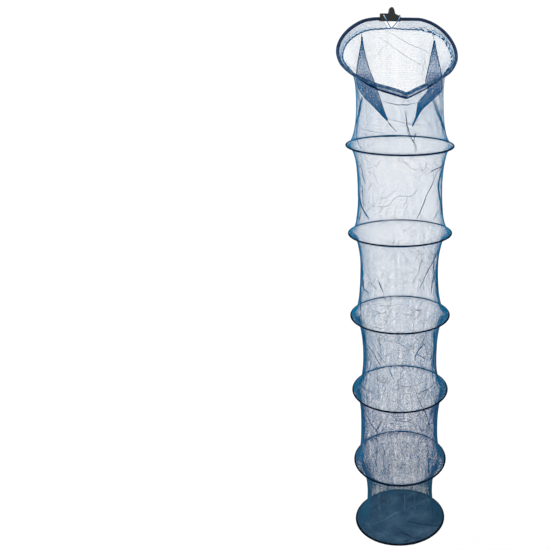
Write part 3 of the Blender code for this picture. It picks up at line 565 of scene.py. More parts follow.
def netting(k):
    """The two halves of wall k as threads."""
    ln = (0.30 if k == 0 else HOOP_Z[k - 1] - HOOP_Z[k])
    share_of, share_to, surface = even_rows(k)
    rows = int(round(surface / ROW[k]))
    u, v, edges, cols = hex_lattice(CELLS[k], rows, True)
    a = u / CELLS[k] * 2 * math.pi
    t = np.clip(v / rows, 0, 1)
    rng = np.random.default_rng(40 + k)
    inner = (t > 0.5 / rows) & (t < 1 - 0.5 / rows)
    a = a + rng.normal(0, 0.17, len(a)) * inner * (2 * math.pi / CELLS[k])
    t = t + rng.normal(0, 0.17, len(t)) * inner / rows
    uv = np.stack([a / math.pi, t], -1)
    rad = 0.8 * HOOP_R
    period = 2 * math.pi * rad
    t = np.interp(t, share_of, share_to)
    a = a - SIDES[k][0] / 2 * np.sin(2 * (a - SIDE_AT)) - SIDES[k][1] / 4 * np.sin(4 * (a - SIDE_AT))
    # meshes stand closer in some upright strips than in others
    for m, q, ph, am in STRIPS[k]:
        a = a + am / m * np.sin(m * a + q * t * ln + ph) * smooth01(np.minimum(t, 1 - t) * ln / 0.03)
    s, z, off = a * rad, t * ln, np.zeros_like(a)
    if CREASES[k]:
        lines = [([(math.radians(x) * rad, y * ln) for x, y in pts], pull if pull > 1.25 else min(pull, 0.55),
                  width if pull > 1.25 else 0.6 * width, ridge) for pts, pull, width, ridge in CREASES[k]]
        s2, z2, off = fold_lines(s, z, period, lines)
        keep = smooth01(np.minimum(t, 1 - t) * ln / 0.010)
        s, z, off = s + (s2 - s) * keep, z + (z2 - z) * keep, off * keep
    a2, t2 = s / rad, np.clip(z / ln, 0, 1)
    p = wall(k, a2, t2)
    n = normals(k, a2, t2)
    p = p + n * off[:, None]
    r = THREAD[k] * speckle(rng, rows, cols, *SPECKLE[k])
    if k == 0:
        # drawn finer at its two sides, where it hangs open
        away = np.minimum(*[np.abs((a - SHARE_AT[q] + math.pi) % (2 * math.pi) - math.pi) for q in (168, 348)])
        r = r * (1 - 0.55 * (1 - smooth01((away - 0.22) / 0.30)))
    if k == 5:
        # the last wall lies slack over the tail, so less of it shows in front
        r = r * (1 - 0.45 * smooth01(-np.sin(a) * 2.0) * smooth01((t - 0.18) / 0.2))
    # threads run double along the two sewn edges
    r = r * (1 + 0.5 * (1 - smooth01(np.minimum(t, 1 - t) * ln / 0.006)))
    out = []
    mid = (u[edges[:, 0]] + np.where(np.abs(u[edges[:, 1]] - u[edges[:, 0]]) > CELLS[k] / 2,
                                     u[edges[:, 0]] + 0.5, u[edges[:, 1]])) / 2
    share = (mid / CELLS[k]) % 1.0
    f0, f1, g0, g1, q0, q1, at, kind = fold_threads(k, ln, rad)
    at = (at / (2 * math.pi)) % 1.0
    for part, pick in (("a", share < 0.5), ("b", share >= 0.5)):
        e = edges[pick]
        i, j = e[:, 0], e[:, 1]
        u0, u1 = uv[i].copy(), uv[j].copy()
        u1[:, 0] = np.where(u1[:, 0] - u0[:, 0] > 1, u1[:, 0] - 2, np.where(u0[:, 0] - u1[:, 0] > 1, u1[:, 0] + 2, u1[:, 0]))
        if part == "b":
            u0[:, 0] -= 1
            u1[:, 0] -= 1
        # the folds' threads lie in a strip of the map above the meshes
        own = (at < 0.5) if part == "a" else (at >= 0.5)
        c = np.arange(own.sum())
        b0 = np.stack([(c % 320) / 320, 1.01 + (c // 320) * 0.0035], -1)
        b1 = b0 + np.array([0.9 / 320, 0.0])
        mix = [np.concatenate(v) for v in ((p[i], f0[own]), (p[j], f1[own]), (n[i], g0[own]), (n[j], g1[own]), (r[i], q0[own]),
                                           (r[j], q1[own]), (u0, b0), (u1, b1))]
        mix[6][:, 1] /= 1.1
        mix[7][:, 1] /= 1.1
        co, quads, uvs = strand_mesh(*mix, 0.30 * 2 / CELLS[k])
        ob = build("netting_%d_%s" % (k + 1, part), co, quads, uvs)
        FOLDED[ob.name] = (3 * int(pick.sum()), 3 * int(pick.sum() + (kind[own] == 0).sum()))
        out.append(ob)
    return out


# ---------------------------------------------------------------- swept tubes
def frames_along(path, up=(0, 0, 1.0), closed=False):
    """Tangent, side and up vectors along a line, with little twist."""
    p = np.asarray(path, float)
    t = unit(np.roll(p, -1, 0) - np.roll(p, 1, 0)) if closed else unit(np.gradient(p, axis=0))
    m = np.cross(np.asarray(up, float), t)
    bad = np.linalg.norm(m, axis=1) < 1e-3
    m[bad] = np.cross(np.array([0.0, 1.0, 0.0]), t[bad])
    m = unit(m)
    return t, m, np.cross(t, m)


def even_path(points, step, closed=False):
    p = np.asarray(points, float)
    if closed:
        p = np.vstack([p, p[:1]])
    s = np.concatenate([[0], np.cumsum(np.linalg.norm(np.diff(p, axis=0), axis=1))])
    n = max(3, int(round(s[-1] / step)))
    w = np.linspace(0, s[-1], n + 1)
    q = np.stack([np.interp(w, s, p[:, i]) for i in range(3)], -1)
    return (q[:-1] if closed else q), (w[:-1] if closed else w)


def smoothed(p, closed, times=3):
    p = np.asarray(p, float).copy()
    for _ in range(times):
        q = (np.roll(p, 1, 0) + 2 * p + np.roll(p, -1, 0)) / 4
        if not closed:
            q[0], q[-1] = p[0], p[-1]
        p = q
    return p


def tube(name, path, s, radius, sides, closed=False, up=(0, 0, 1.0), flat=(1.0, 1.0), shift=None):
    """A tube along path whose radius is radius(s, angle); flat stretches it sideways and upwards."""
    t, m, b = frames_along(path, up, closed)
    n = len(path)
    q = 2 * math.pi * np.arange(sides) / sides
    ss, qq = np.meshgrid(s, q, indexing="ij")
    r = radius(ss, qq)
    co = path[:, None] + r[..., None] * (np.cos(qq)[..., None] * m[:, None] * flat[0] + np.sin(qq)[..., None] * b[:, None] * flat[1])
    if shift is not None:
        co = co + shift(ss, qq, m, b)
    i = np.arange(n if closed else n - 1)
    i2 = (i + 1) % n
    k = np.arange(sides)
    k2 = (k + 1) % sides
    quads = np.stack([(i[:, None] * sides + k), (i[:, None] * sides + k2), (i2[:, None] * sides + k2), (i2[:, None] * sides + k)], -1)
    total = float(s[-1] + (s[1] - s[0]) if closed else s[-1])
    strips = 8
    # the bake's map: the tube cut into strips of equal length, laid side by side
    uu = (i / len(i) * strips)
    col = np.floor(uu)
    f = uu - col
    f2 = f + strips / len(i)
    v0, v1 = k / sides, (k + 1) / sides
    uv = np.zeros((len(i), sides, 4, 2))
    x0 = (col[:, None] + v0 * 0.94 + 0.03) / strips
    x1 = (col[:, None] + v1 * 0.94 + 0.03) / strips
    y0, y1 = np.broadcast_to(f[:, None], x0.shape), np.broadcast_to(np.minimum(f2, 1.0)[:, None], x0.shape)
    uv[:, :, 0], uv[:, :, 1] = np.stack([x0, y0], -1), np.stack([x1, y0], -1)
    uv[:, :, 2], uv[:, :, 3] = np.stack([x1, y1], -1), np.stack([x0, y1], -1)
    co = co.reshape(-1, 3)
    quads = quads.reshape(-1, 4)
    uv = uv.reshape(-1, 2)
    ob = build(name, co, quads, uv)
    if not closed:
        bm_cap(ob, n, sides)
    return ob


def bm_cap(ob, n, sides):
    """Closes a tube's two open ends."""
    import bmesh
    bm = bmesh.new()
    bm.from_mesh(ob.data)
    bm.verts.ensure_lookup_table()
    bm.faces.new([bm.verts[k] for k in range(sides)][::-1])
    bm.faces.new([bm.verts[(n - 1) * sides + k] for k in range(sides)])
    for f in bm.faces:
        f.smooth = True
    bm.to_mesh(ob.data)
    bm.free()


# ---------------------------------------------------------------- materials
def material(name):
    m = bpy.data.materials.new(name)
    m.use_nodes = True
    nt = m.node_tree
    b = nt.nodes["Principled BSDF"]
    return m, nt, b


def node(nt, kind, **values):
    n = nt.nodes.new(kind)
    for k, v in values.items():
        if k in n.inputs:
            n.inputs[k].default_value = v
        else:
            setattr(n, k, v)
    return n


def ramp(nt, stops, interpolation="LINEAR"):
    r = nt.nodes.new("ShaderNodeValToRGB")
    r.color_ramp.interpolation = interpolation
    while len(r.color_ramp.elements) < len(stops):
        r.color_ramp.elements.new(0.5)
    for e, (pos, col) in zip(r.color_ramp.elements, stops):
        e.position = pos
        e.color = (*col, 1.0)
    return r


def thread_material(name, dark, mid, light, coords="uv", scale=30.0, rough=0.6, spec=0.07, sheen=0.0, bump=0.25, fine=900.0,
                    detail=4.0, stretch=(1.0, 1.0, 1.0)):
    """Twisted synthetic thread: tone varies softly over the piece and finely along the fibre, with a fibre bump."""
    m, nt, b = material(name)
    tc = nt.nodes.new("ShaderNodeTexCoord")
    mp = nt.nodes.new("ShaderNodeMapping")
    mp.inputs["Scale"].default_value = stretch
    nt.links.new(tc.outputs["UV" if coords == "uv" else "Object"], mp.inputs["Vector"])
    n1 = node(nt, "ShaderNodeTexNoise", Scale=scale, Detail=detail, Roughness=0.6)
    nt.links.new(mp.outputs[0], n1.inputs["Vector"])
    r1 = ramp(nt, [(0.30, dark), (0.50, mid), (0.72, light)])
    nt.links.new(n1.outputs["Fac"], r1.inputs[0])
    n2 = node(nt, "ShaderNodeTexNoise", Scale=fine, Detail=2.0)
    nt.links.new(mp.outputs[0], n2.inputs["Vector"])
    r2 = ramp(nt, [(0.25, (0.72, 0.72, 0.72)), (0.75, (1.22, 1.22, 1.22))])
    nt.links.new(n2.outputs["Fac"], r2.inputs[0])
    mx = nt.nodes.new("ShaderNodeMix")
    mx.data_type = "RGBA"
    mx.blend_type = "MULTIPLY"
    mx.inputs[0].default_value = 1.0
    nt.links.new(r1.outputs[0], mx.inputs[6])
    nt.links.new(r2.outputs[0], mx.inputs[7])
    nt.links.new(mx.outputs[2], b.inputs["Base Color"])
    rr = nt.nodes.new("ShaderNodeMapRange")
    rr.inputs["To Min"].default_value = rough - 0.10
    rr.inputs["To Max"].default_value = rough + 0.12
    nt.links.new(n2.outputs["Fac"], rr.inputs["Value"])
    nt.links.new(rr.outputs[0], b.inputs["Roughness"])
    b.inputs["Specular IOR Level"].default_value = spec
    if sheen:
        b.inputs["Sheen Weight"].default_value = sheen
        b.inputs["Sheen Roughness"].default_value = 0.5
    if bump:
        bp = node(nt, "ShaderNodeBump", Strength=bump, Distance=0.0003)
        nt.links.new(n2.outputs["Fac"], bp.inputs["Height"])
        nt.links.new(bp.outputs[0], b.inputs["Normal"])
    return m


def painted_edge_on_blue(m, at, colour, amount):
    """Where the netting is bunched at its two sides and seen edge-on, a deeper blue is painted: it stands in for shade
    and light bounced among the stacked threads.
    """
    nt = m.node_tree
    b = nt.nodes["Principled BSDF"]
    old = b.inputs["Base Color"].links[0].from_socket
    tc = nt.nodes.new("ShaderNodeTexCoord")
    sep = nt.nodes.new("ShaderNodeSeparateXYZ")
    nt.links.new(tc.outputs["UV"], sep.inputs[0])
    last = sep.outputs["X"]
    for kind, value in (("ADD", 1.5 - at), ("FRACT", None), ("SUBTRACT", 0.5), ("ABSOLUTE", None)):
        q = nt.nodes.new("ShaderNodeMath")
        q.operation = kind
        nt.links.new(last, q.inputs[0])
        if value is not None:
            q.inputs[1].default_value = value
        last = q.outputs[0]
    mr = nt.nodes.new("ShaderNodeMapRange")
    mr.inputs["From Min"].default_value, mr.inputs["From Max"].default_value = 0.05, 0.26
    mr.inputs["To Min"].default_value, mr.inputs["To Max"].default_value = amount, 0.0
    nt.links.new(last, mr.inputs["Value"])
    mx = nt.nodes.new("ShaderNodeMix")
    mx.data_type = "RGBA"
    mx.inputs[7].default_value = (*colour, 1.0)
    nt.links.new(mr.outputs[0], mx.inputs[0])
    nt.links.new(old, mx.inputs[6])
    nt.links.new(mx.outputs[2], b.inputs["Base Color"])
    return m


# each wall's thread; from the second wall down it gets a painted deeper blue at the two sides seen edge-on
NET_MAT = [painted_edge_on_blue(thread_material("netting_thread_%d" % (k + 1), d, m, l, scale=9.0, fine=260.0, spec=0.0),
                       168 / 180, ((0.010, 0.270, 0.500), (0.008, 0.240, 0.440), (0.006, 0.170, 0.340), (0.013, 0.132, 0.260),
                                   (0.022, 0.114, 0.215), (0.020, 0.090, 0.160))[k], 0.0 if k == 0 else 0.9)
           for k, (d, m, l) in enumerate([
               ((0.016, 0.160, 0.340), (0.026, 0.215, 0.430), (0.044, 0.280, 0.520)),
               ((0.026, 0.150, 0.330), (0.040, 0.200, 0.410), (0.062, 0.265, 0.500)),
               ((0.022, 0.145, 0.305), (0.034, 0.190, 0.385), (0.054, 0.250, 0.480)),
               ((0.020, 0.125, 0.265), (0.030, 0.162, 0.335), (0.048, 0.215, 0.425)),
               ((0.016, 0.080, 0.195), (0.026, 0.104, 0.255), (0.042, 0.145, 0.320)),
               ((0.014, 0.062, 0.120), (0.026, 0.090, 0.165), (0.045, 0.130, 0.220))])]
# thread of sharp folds and of the dark fold beside the collar hem, darkened with painted shade where the netting folds
# over itself
FOLD_SHADE_MAT = thread_material("folded_netting_painted_shade", (0.006, 0.020, 0.055), (0.008, 0.036, 0.095), (0.014, 0.070, 0.165), scale=9.0, fine=260.0,
                           spec=0.0)
# thread of netting lying double on walls 1 to 5, darkened with painted shade between the stacked layers
DOUBLE_SHADE_MAT = thread_material("double_netting_painted_shade", (0.006, 0.080, 0.190), (0.008, 0.120, 0.270), (0.014, 0.170, 0.360), scale=9.0,
                             fine=260.0, spec=0.0)
# thread of the last wall's pleats, paler: a painted highlight on the raised pleats
PLEAT_HIGHLIGHT_MAT = thread_material("tail_pleat_painted_highlight", (0.040, 0.095, 0.160), (0.060, 0.130, 0.205), (0.085, 0.170, 0.260), scale=9.0, fine=260.0,
                            spec=0.0)
HEM_MATS = [thread_material("hoop_hem_thread_%d" % (k + 1), tuple(0.55 * c for c in m), m, tuple(2.2 * c for c in m),
                            coords="object", scale=60.0, fine=1400.0, rough=0.75, spec=0.0, bump=0.5)
            for k, m in enumerate(((0.006, 0.019, 0.048), (0.006, 0.014, 0.036), (0.005, 0.011, 0.028), (0.005, 0.010, 0.025),
                                   (0.005, 0.009, 0.021), (0.003, 0.0045, 0.010)))]
CORD_MAT = thread_material("drawstring_braid", (0.016, 0.080, 0.190), (0.045, 0.170, 0.340), (0.160, 0.330, 0.520),
                           coords="object", scale=180.0, fine=1600.0, rough=0.7, spec=0.05, sheen=0.0, bump=0.5)


def ribbed_sleeve():
    m, nt, b = material("ribbed_navy_sleeve")
    tc = nt.nodes.new("ShaderNodeTexCoord")
    sep = nt.nodes.new("ShaderNodeSeparateXYZ")
    nt.links.new(tc.outputs["Object"], sep.inputs[0])
    rng = nt.nodes.new("ShaderNodeMapRange")
    rng.inputs["From Min"].default_value = BAR_Y - 0.24
    rng.inputs["From Max"].default_value = BAR_Y
    nt.links.new(sep.outputs["Y"], rng.inputs["Value"])
    cr = ramp(nt, [(0.0, (0.008, 0.052, 0.125)), (0.45, (0.006, 0.034, 0.098)), (1.0, (0.007, 0.020, 0.056))])
    nt.links.new(rng.outputs[0], cr.inputs[0])
    n1 = node(nt, "ShaderNodeTexNoise", Scale=70.0, Detail=5.0, Roughness=0.65)
    nt.links.new(tc.outputs["Object"], n1.inputs["Vector"])
    r1 = ramp(nt, [(0.3, (0.60, 0.60, 0.60)), (0.7, (1.5, 1.5, 1.5))])
    nt.links.new(n1.outputs["Fac"], r1.inputs[0])
    mx = nt.nodes.new("ShaderNodeMix")
    mx.data_type, mx.blend_type = "RGBA", "MULTIPLY"
    mx.inputs[0].default_value = 1.0
    nt.links.new(cr.outputs[0], mx.inputs[6])
    nt.links.new(r1.outputs[0], mx.inputs[7])
    # painted highlights: the sleeve is paler in patches at the front
    n3 = node(nt, "ShaderNodeTexNoise", Scale=150.0, Detail=3.0, Roughness=0.6)
    nt.links.new(tc.outputs["Object"], n3.inputs["Vector"])
    r3 = ramp(nt, [(0.50, (0.0, 0.0, 0.0)), (0.60, (1.0, 1.0, 1.0))])
    nt.links.new(n3.outputs["Fac"], r3.inputs[0])
    fr = ramp(nt, [(0.0, (0.8, 0.8, 0.8)), (0.30, (0.6, 0.6, 0.6)), (0.60, (0.0, 0.0, 0.0))])
    nt.links.new(rng.outputs[0], fr.inputs[0])
    both = nt.nodes.new("ShaderNodeMath")
    both.operation = "MULTIPLY"
    nt.links.new(r3.outputs[0], both.inputs[0])
    nt.links.new(fr.outputs[0], both.inputs[1])
    my = nt.nodes.new("ShaderNodeMix")
    my.data_type = "RGBA"
    my.inputs[7].default_value = (0.130, 0.220, 0.340, 1.0)
    nt.links.new(both.outputs[0], my.inputs[0])
    nt.links.new(mx.outputs[2], my.inputs[6])
    nt.links.new(my.outputs[2], b.inputs["Base Color"])
    n2 = node(nt, "ShaderNodeTexNoise", Scale=900.0, Detail=3.0)
    nt.links.new(tc.outputs["Object"], n2.inputs["Vector"])
    rr = nt.nodes.new("ShaderNodeMapRange")
    rr.inputs["To Min"].default_value = 0.32
    rr.inputs["To Max"].default_value = 0.52
    nt.links.new(n2.outputs["Fac"], rr.inputs["Value"])
    nt.links.new(rr.outputs[0], b.inputs["Roughness"])
    bp = node(nt, "ShaderNodeBump", Strength=0.2, Distance=0.0002)
    nt.links.new(n2.outputs["Fac"], bp.inputs["Height"])
    nt.links.new(bp.outputs[0], b.inputs["Normal"])
    b.inputs["Specular IOR Level"].default_value = 0.10
    return m


def plastic(name, base, rough, spec=0.25):
    m, nt, b = material(name)
    tc = nt.nodes.new("ShaderNodeTexCoord")
    n1 = node(nt, "ShaderNodeTexNoise", Scale=160.0, Detail=4.0)
    nt.links.new(tc.outputs["Object"], n1.inputs["Vector"])
    c = [tuple(x * f for x in base) for f in (0.75, 1.0, 1.5)]
    r1 = ramp(nt, [(0.3, c[0]), (0.5, c[1]), (0.75, c[2])])
    nt.links.new(n1.outputs["Fac"], r1.inputs[0])
    nt.links.new(r1.outputs[0], b.inputs["Base Color"])
    n2 = node(nt, "ShaderNodeTexNoise", Scale=2600.0, Detail=2.0)
    nt.links.new(tc.outputs["Object"], n2.inputs["Vector"])
    rr = nt.nodes.new("ShaderNodeMapRange")
    rr.inputs["To Min"].default_value = rough - 0.08
    rr.inputs["To Max"].default_value = rough + 0.10
    nt.links.new(n1.outputs["Fac"], rr.inputs["Value"])
    nt.links.new(rr.outputs[0], b.inputs["Roughness"])
    bp = node(nt, "ShaderNodeBump", Strength=0.35, Distance=0.00012)
    nt.links.new(n2.outputs["Fac"], bp.inputs["Height"])
    nt.links.new(bp.outputs[0], b.inputs["Normal"])
    b.inputs["Specular IOR Level"].default_value = spec
    return m


def metal(name, base, rough, streak=(1.0, 1.0, 1.0)):
    m, nt, b = material(name)
    tc = nt.nodes.new("ShaderNodeTexCoord")
    mp = nt.nodes.new("ShaderNodeMapping")
    mp.inputs["Scale"].default_value = streak
    nt.links.new(tc.outputs["Object"], mp.inputs[0])
    n1 = node(nt, "ShaderNodeTexNoise", Scale=300.0, Detail=6.0, Roughness=0.7)
    nt.links.new(mp.outputs[0], n1.inputs["Vector"])
    r1 = ramp(nt, [(0.25, tuple(x * 0.72 for x in base)), (0.7, base)])
    nt.links.new(n1.outputs["Fac"], r1.inputs[0])
    nt.links.new(r1.outputs[0], b.inputs["Base Color"])
    rr = nt.nodes.new("ShaderNodeMapRange")
    rr.inputs["To Min"].default_value = rough - 0.08
    rr.inputs["To Max"].default_value = rough + 0.15
    nt.links.new(n1.outputs["Fac"], rr.inputs["Value"])
    nt.links.new(rr.outputs[0], b.inputs["Roughness"])
    b.inputs["Metallic"].default_value = 1.0
    return m


SLEEVE_MAT = ribbed_sleeve()
BLACK_MAT = plastic("moulded_black_plastic", (0.016, 0.017, 0.018), 0.48, 0.22)
WIRE_MAT = plastic("coated_hoop_wire", (0.012, 0.015, 0.026), 0.42, 0.3)
BRASS_MAT = metal("turned_brass", (0.60, 0.42, 0.16), 0.28, (1, 8, 1))
STEEL_MAT = metal("zinc_steel", (0.42, 0.43, 0.45), 0.30)
TUBE_MAT = metal("drawn_tube", (0.45, 0.47, 0.50), 0.35, (6, 1, 1))


def collar_hem_material():
    """Gathered light blue hem: its underside and its run under the ring in front are darkened with painted shade, its
    right-hand ruffles carry painted highlights and painted shade, and it is paler on the right and patchy in tone
    elsewhere.
    """
    m, nt, b = material("gathered_blue_hem")
    tc = nt.nodes.new("ShaderNodeTexCoord")
    sh = nt.nodes.new("ShaderNodeAttribute")
    sh.attribute_name = "under"
    n1 = node(nt, "ShaderNodeTexNoise", Scale=120.0, Detail=5.0, Roughness=0.7)
    nt.links.new(tc.outputs["Object"], n1.inputs["Vector"])
    add = nt.nodes.new("ShaderNodeMath")
    add.operation = "MULTIPLY_ADD"
    add.inputs[1].default_value = 0.75
    nt.links.new(n1.outputs["Fac"], add.inputs[0])
    nt.links.new(sh.outputs["Fac"], add.inputs[2])
    cr = ramp(nt, [(0.16, (0.560, 0.760, 0.900)), (0.34, (0.210, 0.420, 0.640)), (0.52, (0.080, 0.260, 0.500)), (0.74, (0.018, 0.085, 0.200)),
                   (1.00, (0.006, 0.018, 0.060))])
    nt.links.new(add.outputs[0], cr.inputs[0])
    nt.links.new(cr.outputs[0], b.inputs["Base Color"])
    n2 = node(nt, "ShaderNodeTexNoise", Scale=1500.0, Detail=2.0)
    nt.links.new(tc.outputs["Object"], n2.inputs["Vector"])
    rr = nt.nodes.new("ShaderNodeMapRange")
    rr.inputs["To Min"].default_value = 0.62
    rr.inputs["To Max"].default_value = 0.85
    nt.links.new(n2.outputs["Fac"], rr.inputs["Value"])
    nt.links.new(rr.outputs[0], b.inputs["Roughness"])
    bp = node(nt, "ShaderNodeBump", Strength=0.6, Distance=0.0004)
    nt.links.new(n2.outputs["Fac"], bp.inputs["Height"])
    nt.links.new(bp.outputs[0], b.inputs["Normal"])
    b.inputs["Specular IOR Level"].default_value = 0.02
    return m


CHEM_MAT = collar_hem_material()
# pale thread of folds beside the collar hem: the paleness is a painted highlight
FOLD_HIGHLIGHT_MAT = thread_material("gathered_fold_painted_highlight", (0.120, 0.360, 0.600), (0.380, 0.640, 0.800), (0.640, 0.830, 0.900), coords="object",
                           scale=120.0, fine=1500.0, rough=0.75)
# near-white lashing thread: a painted highlight between the ring and the hem
LASH_HIGHLIGHT_MAT = thread_material("lashing_painted_highlight", (0.220, 0.340, 0.620), (0.620, 0.740, 0.960), (0.920, 0.960, 1.000), coords="object",
                           scale=90.0, fine=1500.0, rough=0.7, spec=0.0)
GORE_MAT = thread_material("gore_thread", (0.005, 0.090, 0.240), (0.012, 0.175, 0.410), (0.035, 0.270, 0.560), scale=34.0, fine=200.0, spec=0.0)
GORE_LOW_MAT = thread_material("gore_low_thread", (0.002, 0.052, 0.185), (0.003, 0.104, 0.320), (0.009, 0.190, 0.480), scale=34.0, fine=200.0, spec=0.0)
COLLAR_MAT = thread_material("collar_thread", (0.010, 0.080, 0.250), (0.025, 0.195, 0.450), (0.070, 0.370, 0.650), scale=60.0, fine=400.0, spec=0.0)


def put(ob, mat, body, slot, *nodes):
    ob.data.materials.clear()
    ob.data.materials.append(mat)
    if body:
        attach(ob, body)
    if nodes:
        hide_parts(*nodes)
    return ob


# ---------------------------------------------------------------- cord
cord_pts, cord_s = even_path(arr(CORD_PATH), 0.0012)


def braid(s, q):
    k = 2 * math.pi / 0.0050
    w = np.abs(np.sin(2 * q + k * s * 0.5)) + np.abs(np.sin(2 * q - k * s * 0.5))
    return CORD_R * (0.90 + 0.09 * w)


def cord_paler_up_top():
    """The cord's blue is paler where it runs high, on its bends over the bracket."""
    m, nt = CORD_MAT, CORD_MAT.node_tree
    b = nt.nodes["Principled BSDF"]
    old = b.inputs["Base Color"].links[0].from_socket
    tc = nt.nodes.new("ShaderNodeTexCoord")
    sep = nt.nodes.new("ShaderNodeSeparateXYZ")
    nt.links.new(tc.outputs["Object"], sep.inputs[0])
    mr = nt.nodes.new("ShaderNodeMapRange")
    mr.inputs["From Min"].default_value, mr.inputs["From Max"].default_value = BAR_Z - 0.004, BAR_Z + 0.010
    nt.links.new(sep.outputs["Z"], mr.inputs["Value"])
    mx = nt.nodes.new("ShaderNodeMix")
    mx.data_type = "RGBA"
    mx.inputs[7].default_value = (0.42, 0.58, 0.74, 1.0)
    nt.links.new(mr.outputs[0], mx.inputs[0])
    nt.links.new(old, mx.inputs[6])
    nt.links.new(mx.outputs[2], b.inputs["Base Color"])


cord_paler_up_top()
cord_ob = put(tube("drawstring_cord", cord_pts, cord_s, braid, 10), CORD_MAT, "mouth", "light_blue_cord", "drawstring")

# ---------------------------------------------------------------- netting walls
for k in range(6):
    for part in netting(k):
        put(part, NET_MAT[k], None, "netting")
        # second slot: doubled netting, with painted shade (a painted highlight on the last wall's pleats); third slot:
        # folds, with painted shade
        part.data.materials.append(DOUBLE_SHADE_MAT if k < 5 else PLEAT_HIGHLIGHT_MAT)
        part.data.materials.append(FOLD_SHADE_MAT)
        index = np.zeros(len(part.data.polygons), np.int32)
        index[FOLDED[part.name][0]:] = 1
        index[FOLDED[part.name][1]:] = 2
        part.data.polygons.foreach_set("material_index", index)
        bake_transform(part)
    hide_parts("netting_%d" % (k + 1))

# ---------------------------------------------------------------- hoops: stitched hems
for k in range(6):
    tilt = math.radians(HOOP_TILT[k])
    ferrule_at = math.pi / 2
    ang = np.linspace(0, 2 * math.pi, 1100, endpoint=False)
    ring = hoop_point(k, ang, 0.0, 0.0)
    rng = np.random.default_rng(70 + k)
    lump = wave_field(300 + k, 6, (20, 60), (0, 1))

    def hem_r(s, q, k=k, lump=lump):
        a = s / HOOP_R
        twist = np.cos(2 * math.pi * s / 0.0058 - q)
        coarse = lump(a, 0 * a)
        d = np.abs((a - ferrule_at + math.pi) % (2 * math.pi) - math.pi) * HOOP_R
        over = 1 - smooth01((d - 0.026) / 0.006)
        front = np.clip(-np.sin(a), 0, 1)
        base = (0.00275, 0.00255, 0.0027, 0.0030, 0.0031, 0.0038)[k] + (0.0004 if k < 3 else 0.0002) * front
        knot = np.exp(-((a - math.radians(275.0)) * HOOP_R / 0.006) ** 2) * (0.0008 if k == 5 else 0.0)
        return base + 0.00028 * twist + 0.00012 * coarse + (0.0011 if k == 0 else 0.0) * over + knot

    hem = tube("hoop_%d_stitched_hem" % (k + 1), ring, ang * HOOP_R, hem_r, 12, closed=True)
    put(hem, HEM_MATS[k], "hoop_%d_body" % (k + 1), "hoop_hem", "hoop_%d_hem" % (k + 1))

# ---------------------------------------------------------------- mouth ring
ring_pts = [Vector((BLOCK_RIGHT + GAP, BAR_Y, BAR_Z))] \
    + [p for p in LOOP + [LOOP[0]] if not (BLOCK_LEFT - 0.002 < p.x < BLOCK_RIGHT + 0.002 and p.z > BAR_Z - 0.02)] \
    + [Vector((BLOCK_LEFT - GAP, BAR_Y, BAR_Z))]
ring_path, ring_s = even_path(arr(ring_pts), 0.0007)
ring_path = smoothed(ring_path, False, 4)


def rib(s, q):
    return 0.00535 + 0.00045 * np.cos(2 * math.pi * s / 0.0028 - q * 1.0)


put(tube("ribbed_sleeve", ring_path, ring_s, rib, 14), SLEEVE_MAT, "mouth", "navy_sleeve", "mouth_wrap")
tube_pts = [Vector((GAP, BAR_Y, BAR_Z))] + [p for p in LOOP if not (abs(p.x) < 0.002 and p.z > BAR_Z - 0.02)] + [Vector((-GAP, BAR_Y, BAR_Z))]
tube_path, tube_s = even_path(arr(tube_pts), 0.005)
put(tube("frame_tube_bent", tube_path, tube_s, lambda s, q: np.full_like(s, TUBE_R), 16), TUBE_MAT, "mouth", "frame_tube", "mouth_frame")

# ---------------------------------------------------------------- collar: two layers of netting and their gathered hem
FINE_ARR = arr(FINE)
x = FINE_ARR[:, 0].copy()
back = (FINE_ARR[:, 1] > BAR_Y - 0.004) & (np.abs(HEM_ARR[:, 0]) < 0.080)
SLIT_TOP = 0.0330
sgn = np.where(HEM_ARR[:, 0] < 0, -1.0, 1.0)
top_arr = FINE_ARR.copy()
top_arr[back, 0] = (sgn * (SLIT_TOP + (np.abs(HEM_ARR[:, 0]) - HEM_GAP) * (0.080 - SLIT_TOP) / (0.080 - HEM_GAP)))[back]


def loop_at(table, w):
    i = np.floor(w).astype(int) % N_FINE
    f = (w - np.floor(w))[:, None]
    return table[i] * (1 - f) + table[(i + 1) % N_FINE] * f


def collar_layer(name, cells, rows, radius, depth, seed, drop=0.0):
    first = next(i for i in range(N_FINE) if HEM_ARR[i, 0] > HEM_GAP + 0.0005)
    last = N_FINE - first
    u, v, edges, cols = hex_lattice(cells, rows, False)
    w = first + u / cells * (last - first)
    t = np.clip(v / rows, 0, 1)
    rng = np.random.default_rng(seed)
    w = w + rng.normal(0, 0.25, len(w)) * (t > 0) * (t < 1)
    w = np.clip(w, first, last)
    top, low = loop_at(top_arr, w), loop_at(HEM_ARR, w)
    d = unit(low - top)
    ln = np.linalg.norm(low - top, axis=1)
    tan = loop_at(_tan, w)
    n = unit(np.cross(tan, d))
    s = w / N_FINE * 1.165
    wav = 0.0016 * np.sin(s * 2 * math.pi / 0.031 + seed) + 0.0009 * np.sin(s * 2 * math.pi / 0.013 + 2 * seed)
    start = WRAP_R * 0.6 + drop
    p = top + d * (start + (ln - start - CHEM_R * 0.3) * t)[:, None] + n * (depth * np.sin(math.pi * t) + wav * t * (1 - 0.3 * t))[:, None]
    i, j = edges[:, 0], edges[:, 1]
    uv = np.stack([u / cells, t], -1)
    co, quads, uvs = strand_mesh(p[i], p[j], n[i], n[j], np.full(len(i), radius), np.full(len(i), radius), uv[i], uv[j], 0.3 / cells)
    return build(name, co, quads, uvs)


put(collar_layer("collar_layer_a", 250, 9, 0.00026, 0.0012, 1), COLLAR_MAT, "mouth", "netting", "collar_netting")
put(collar_layer("collar_layer_b", 244, 9, 0.00026, -0.0014, 5), COLLAR_MAT, "mouth", "netting")

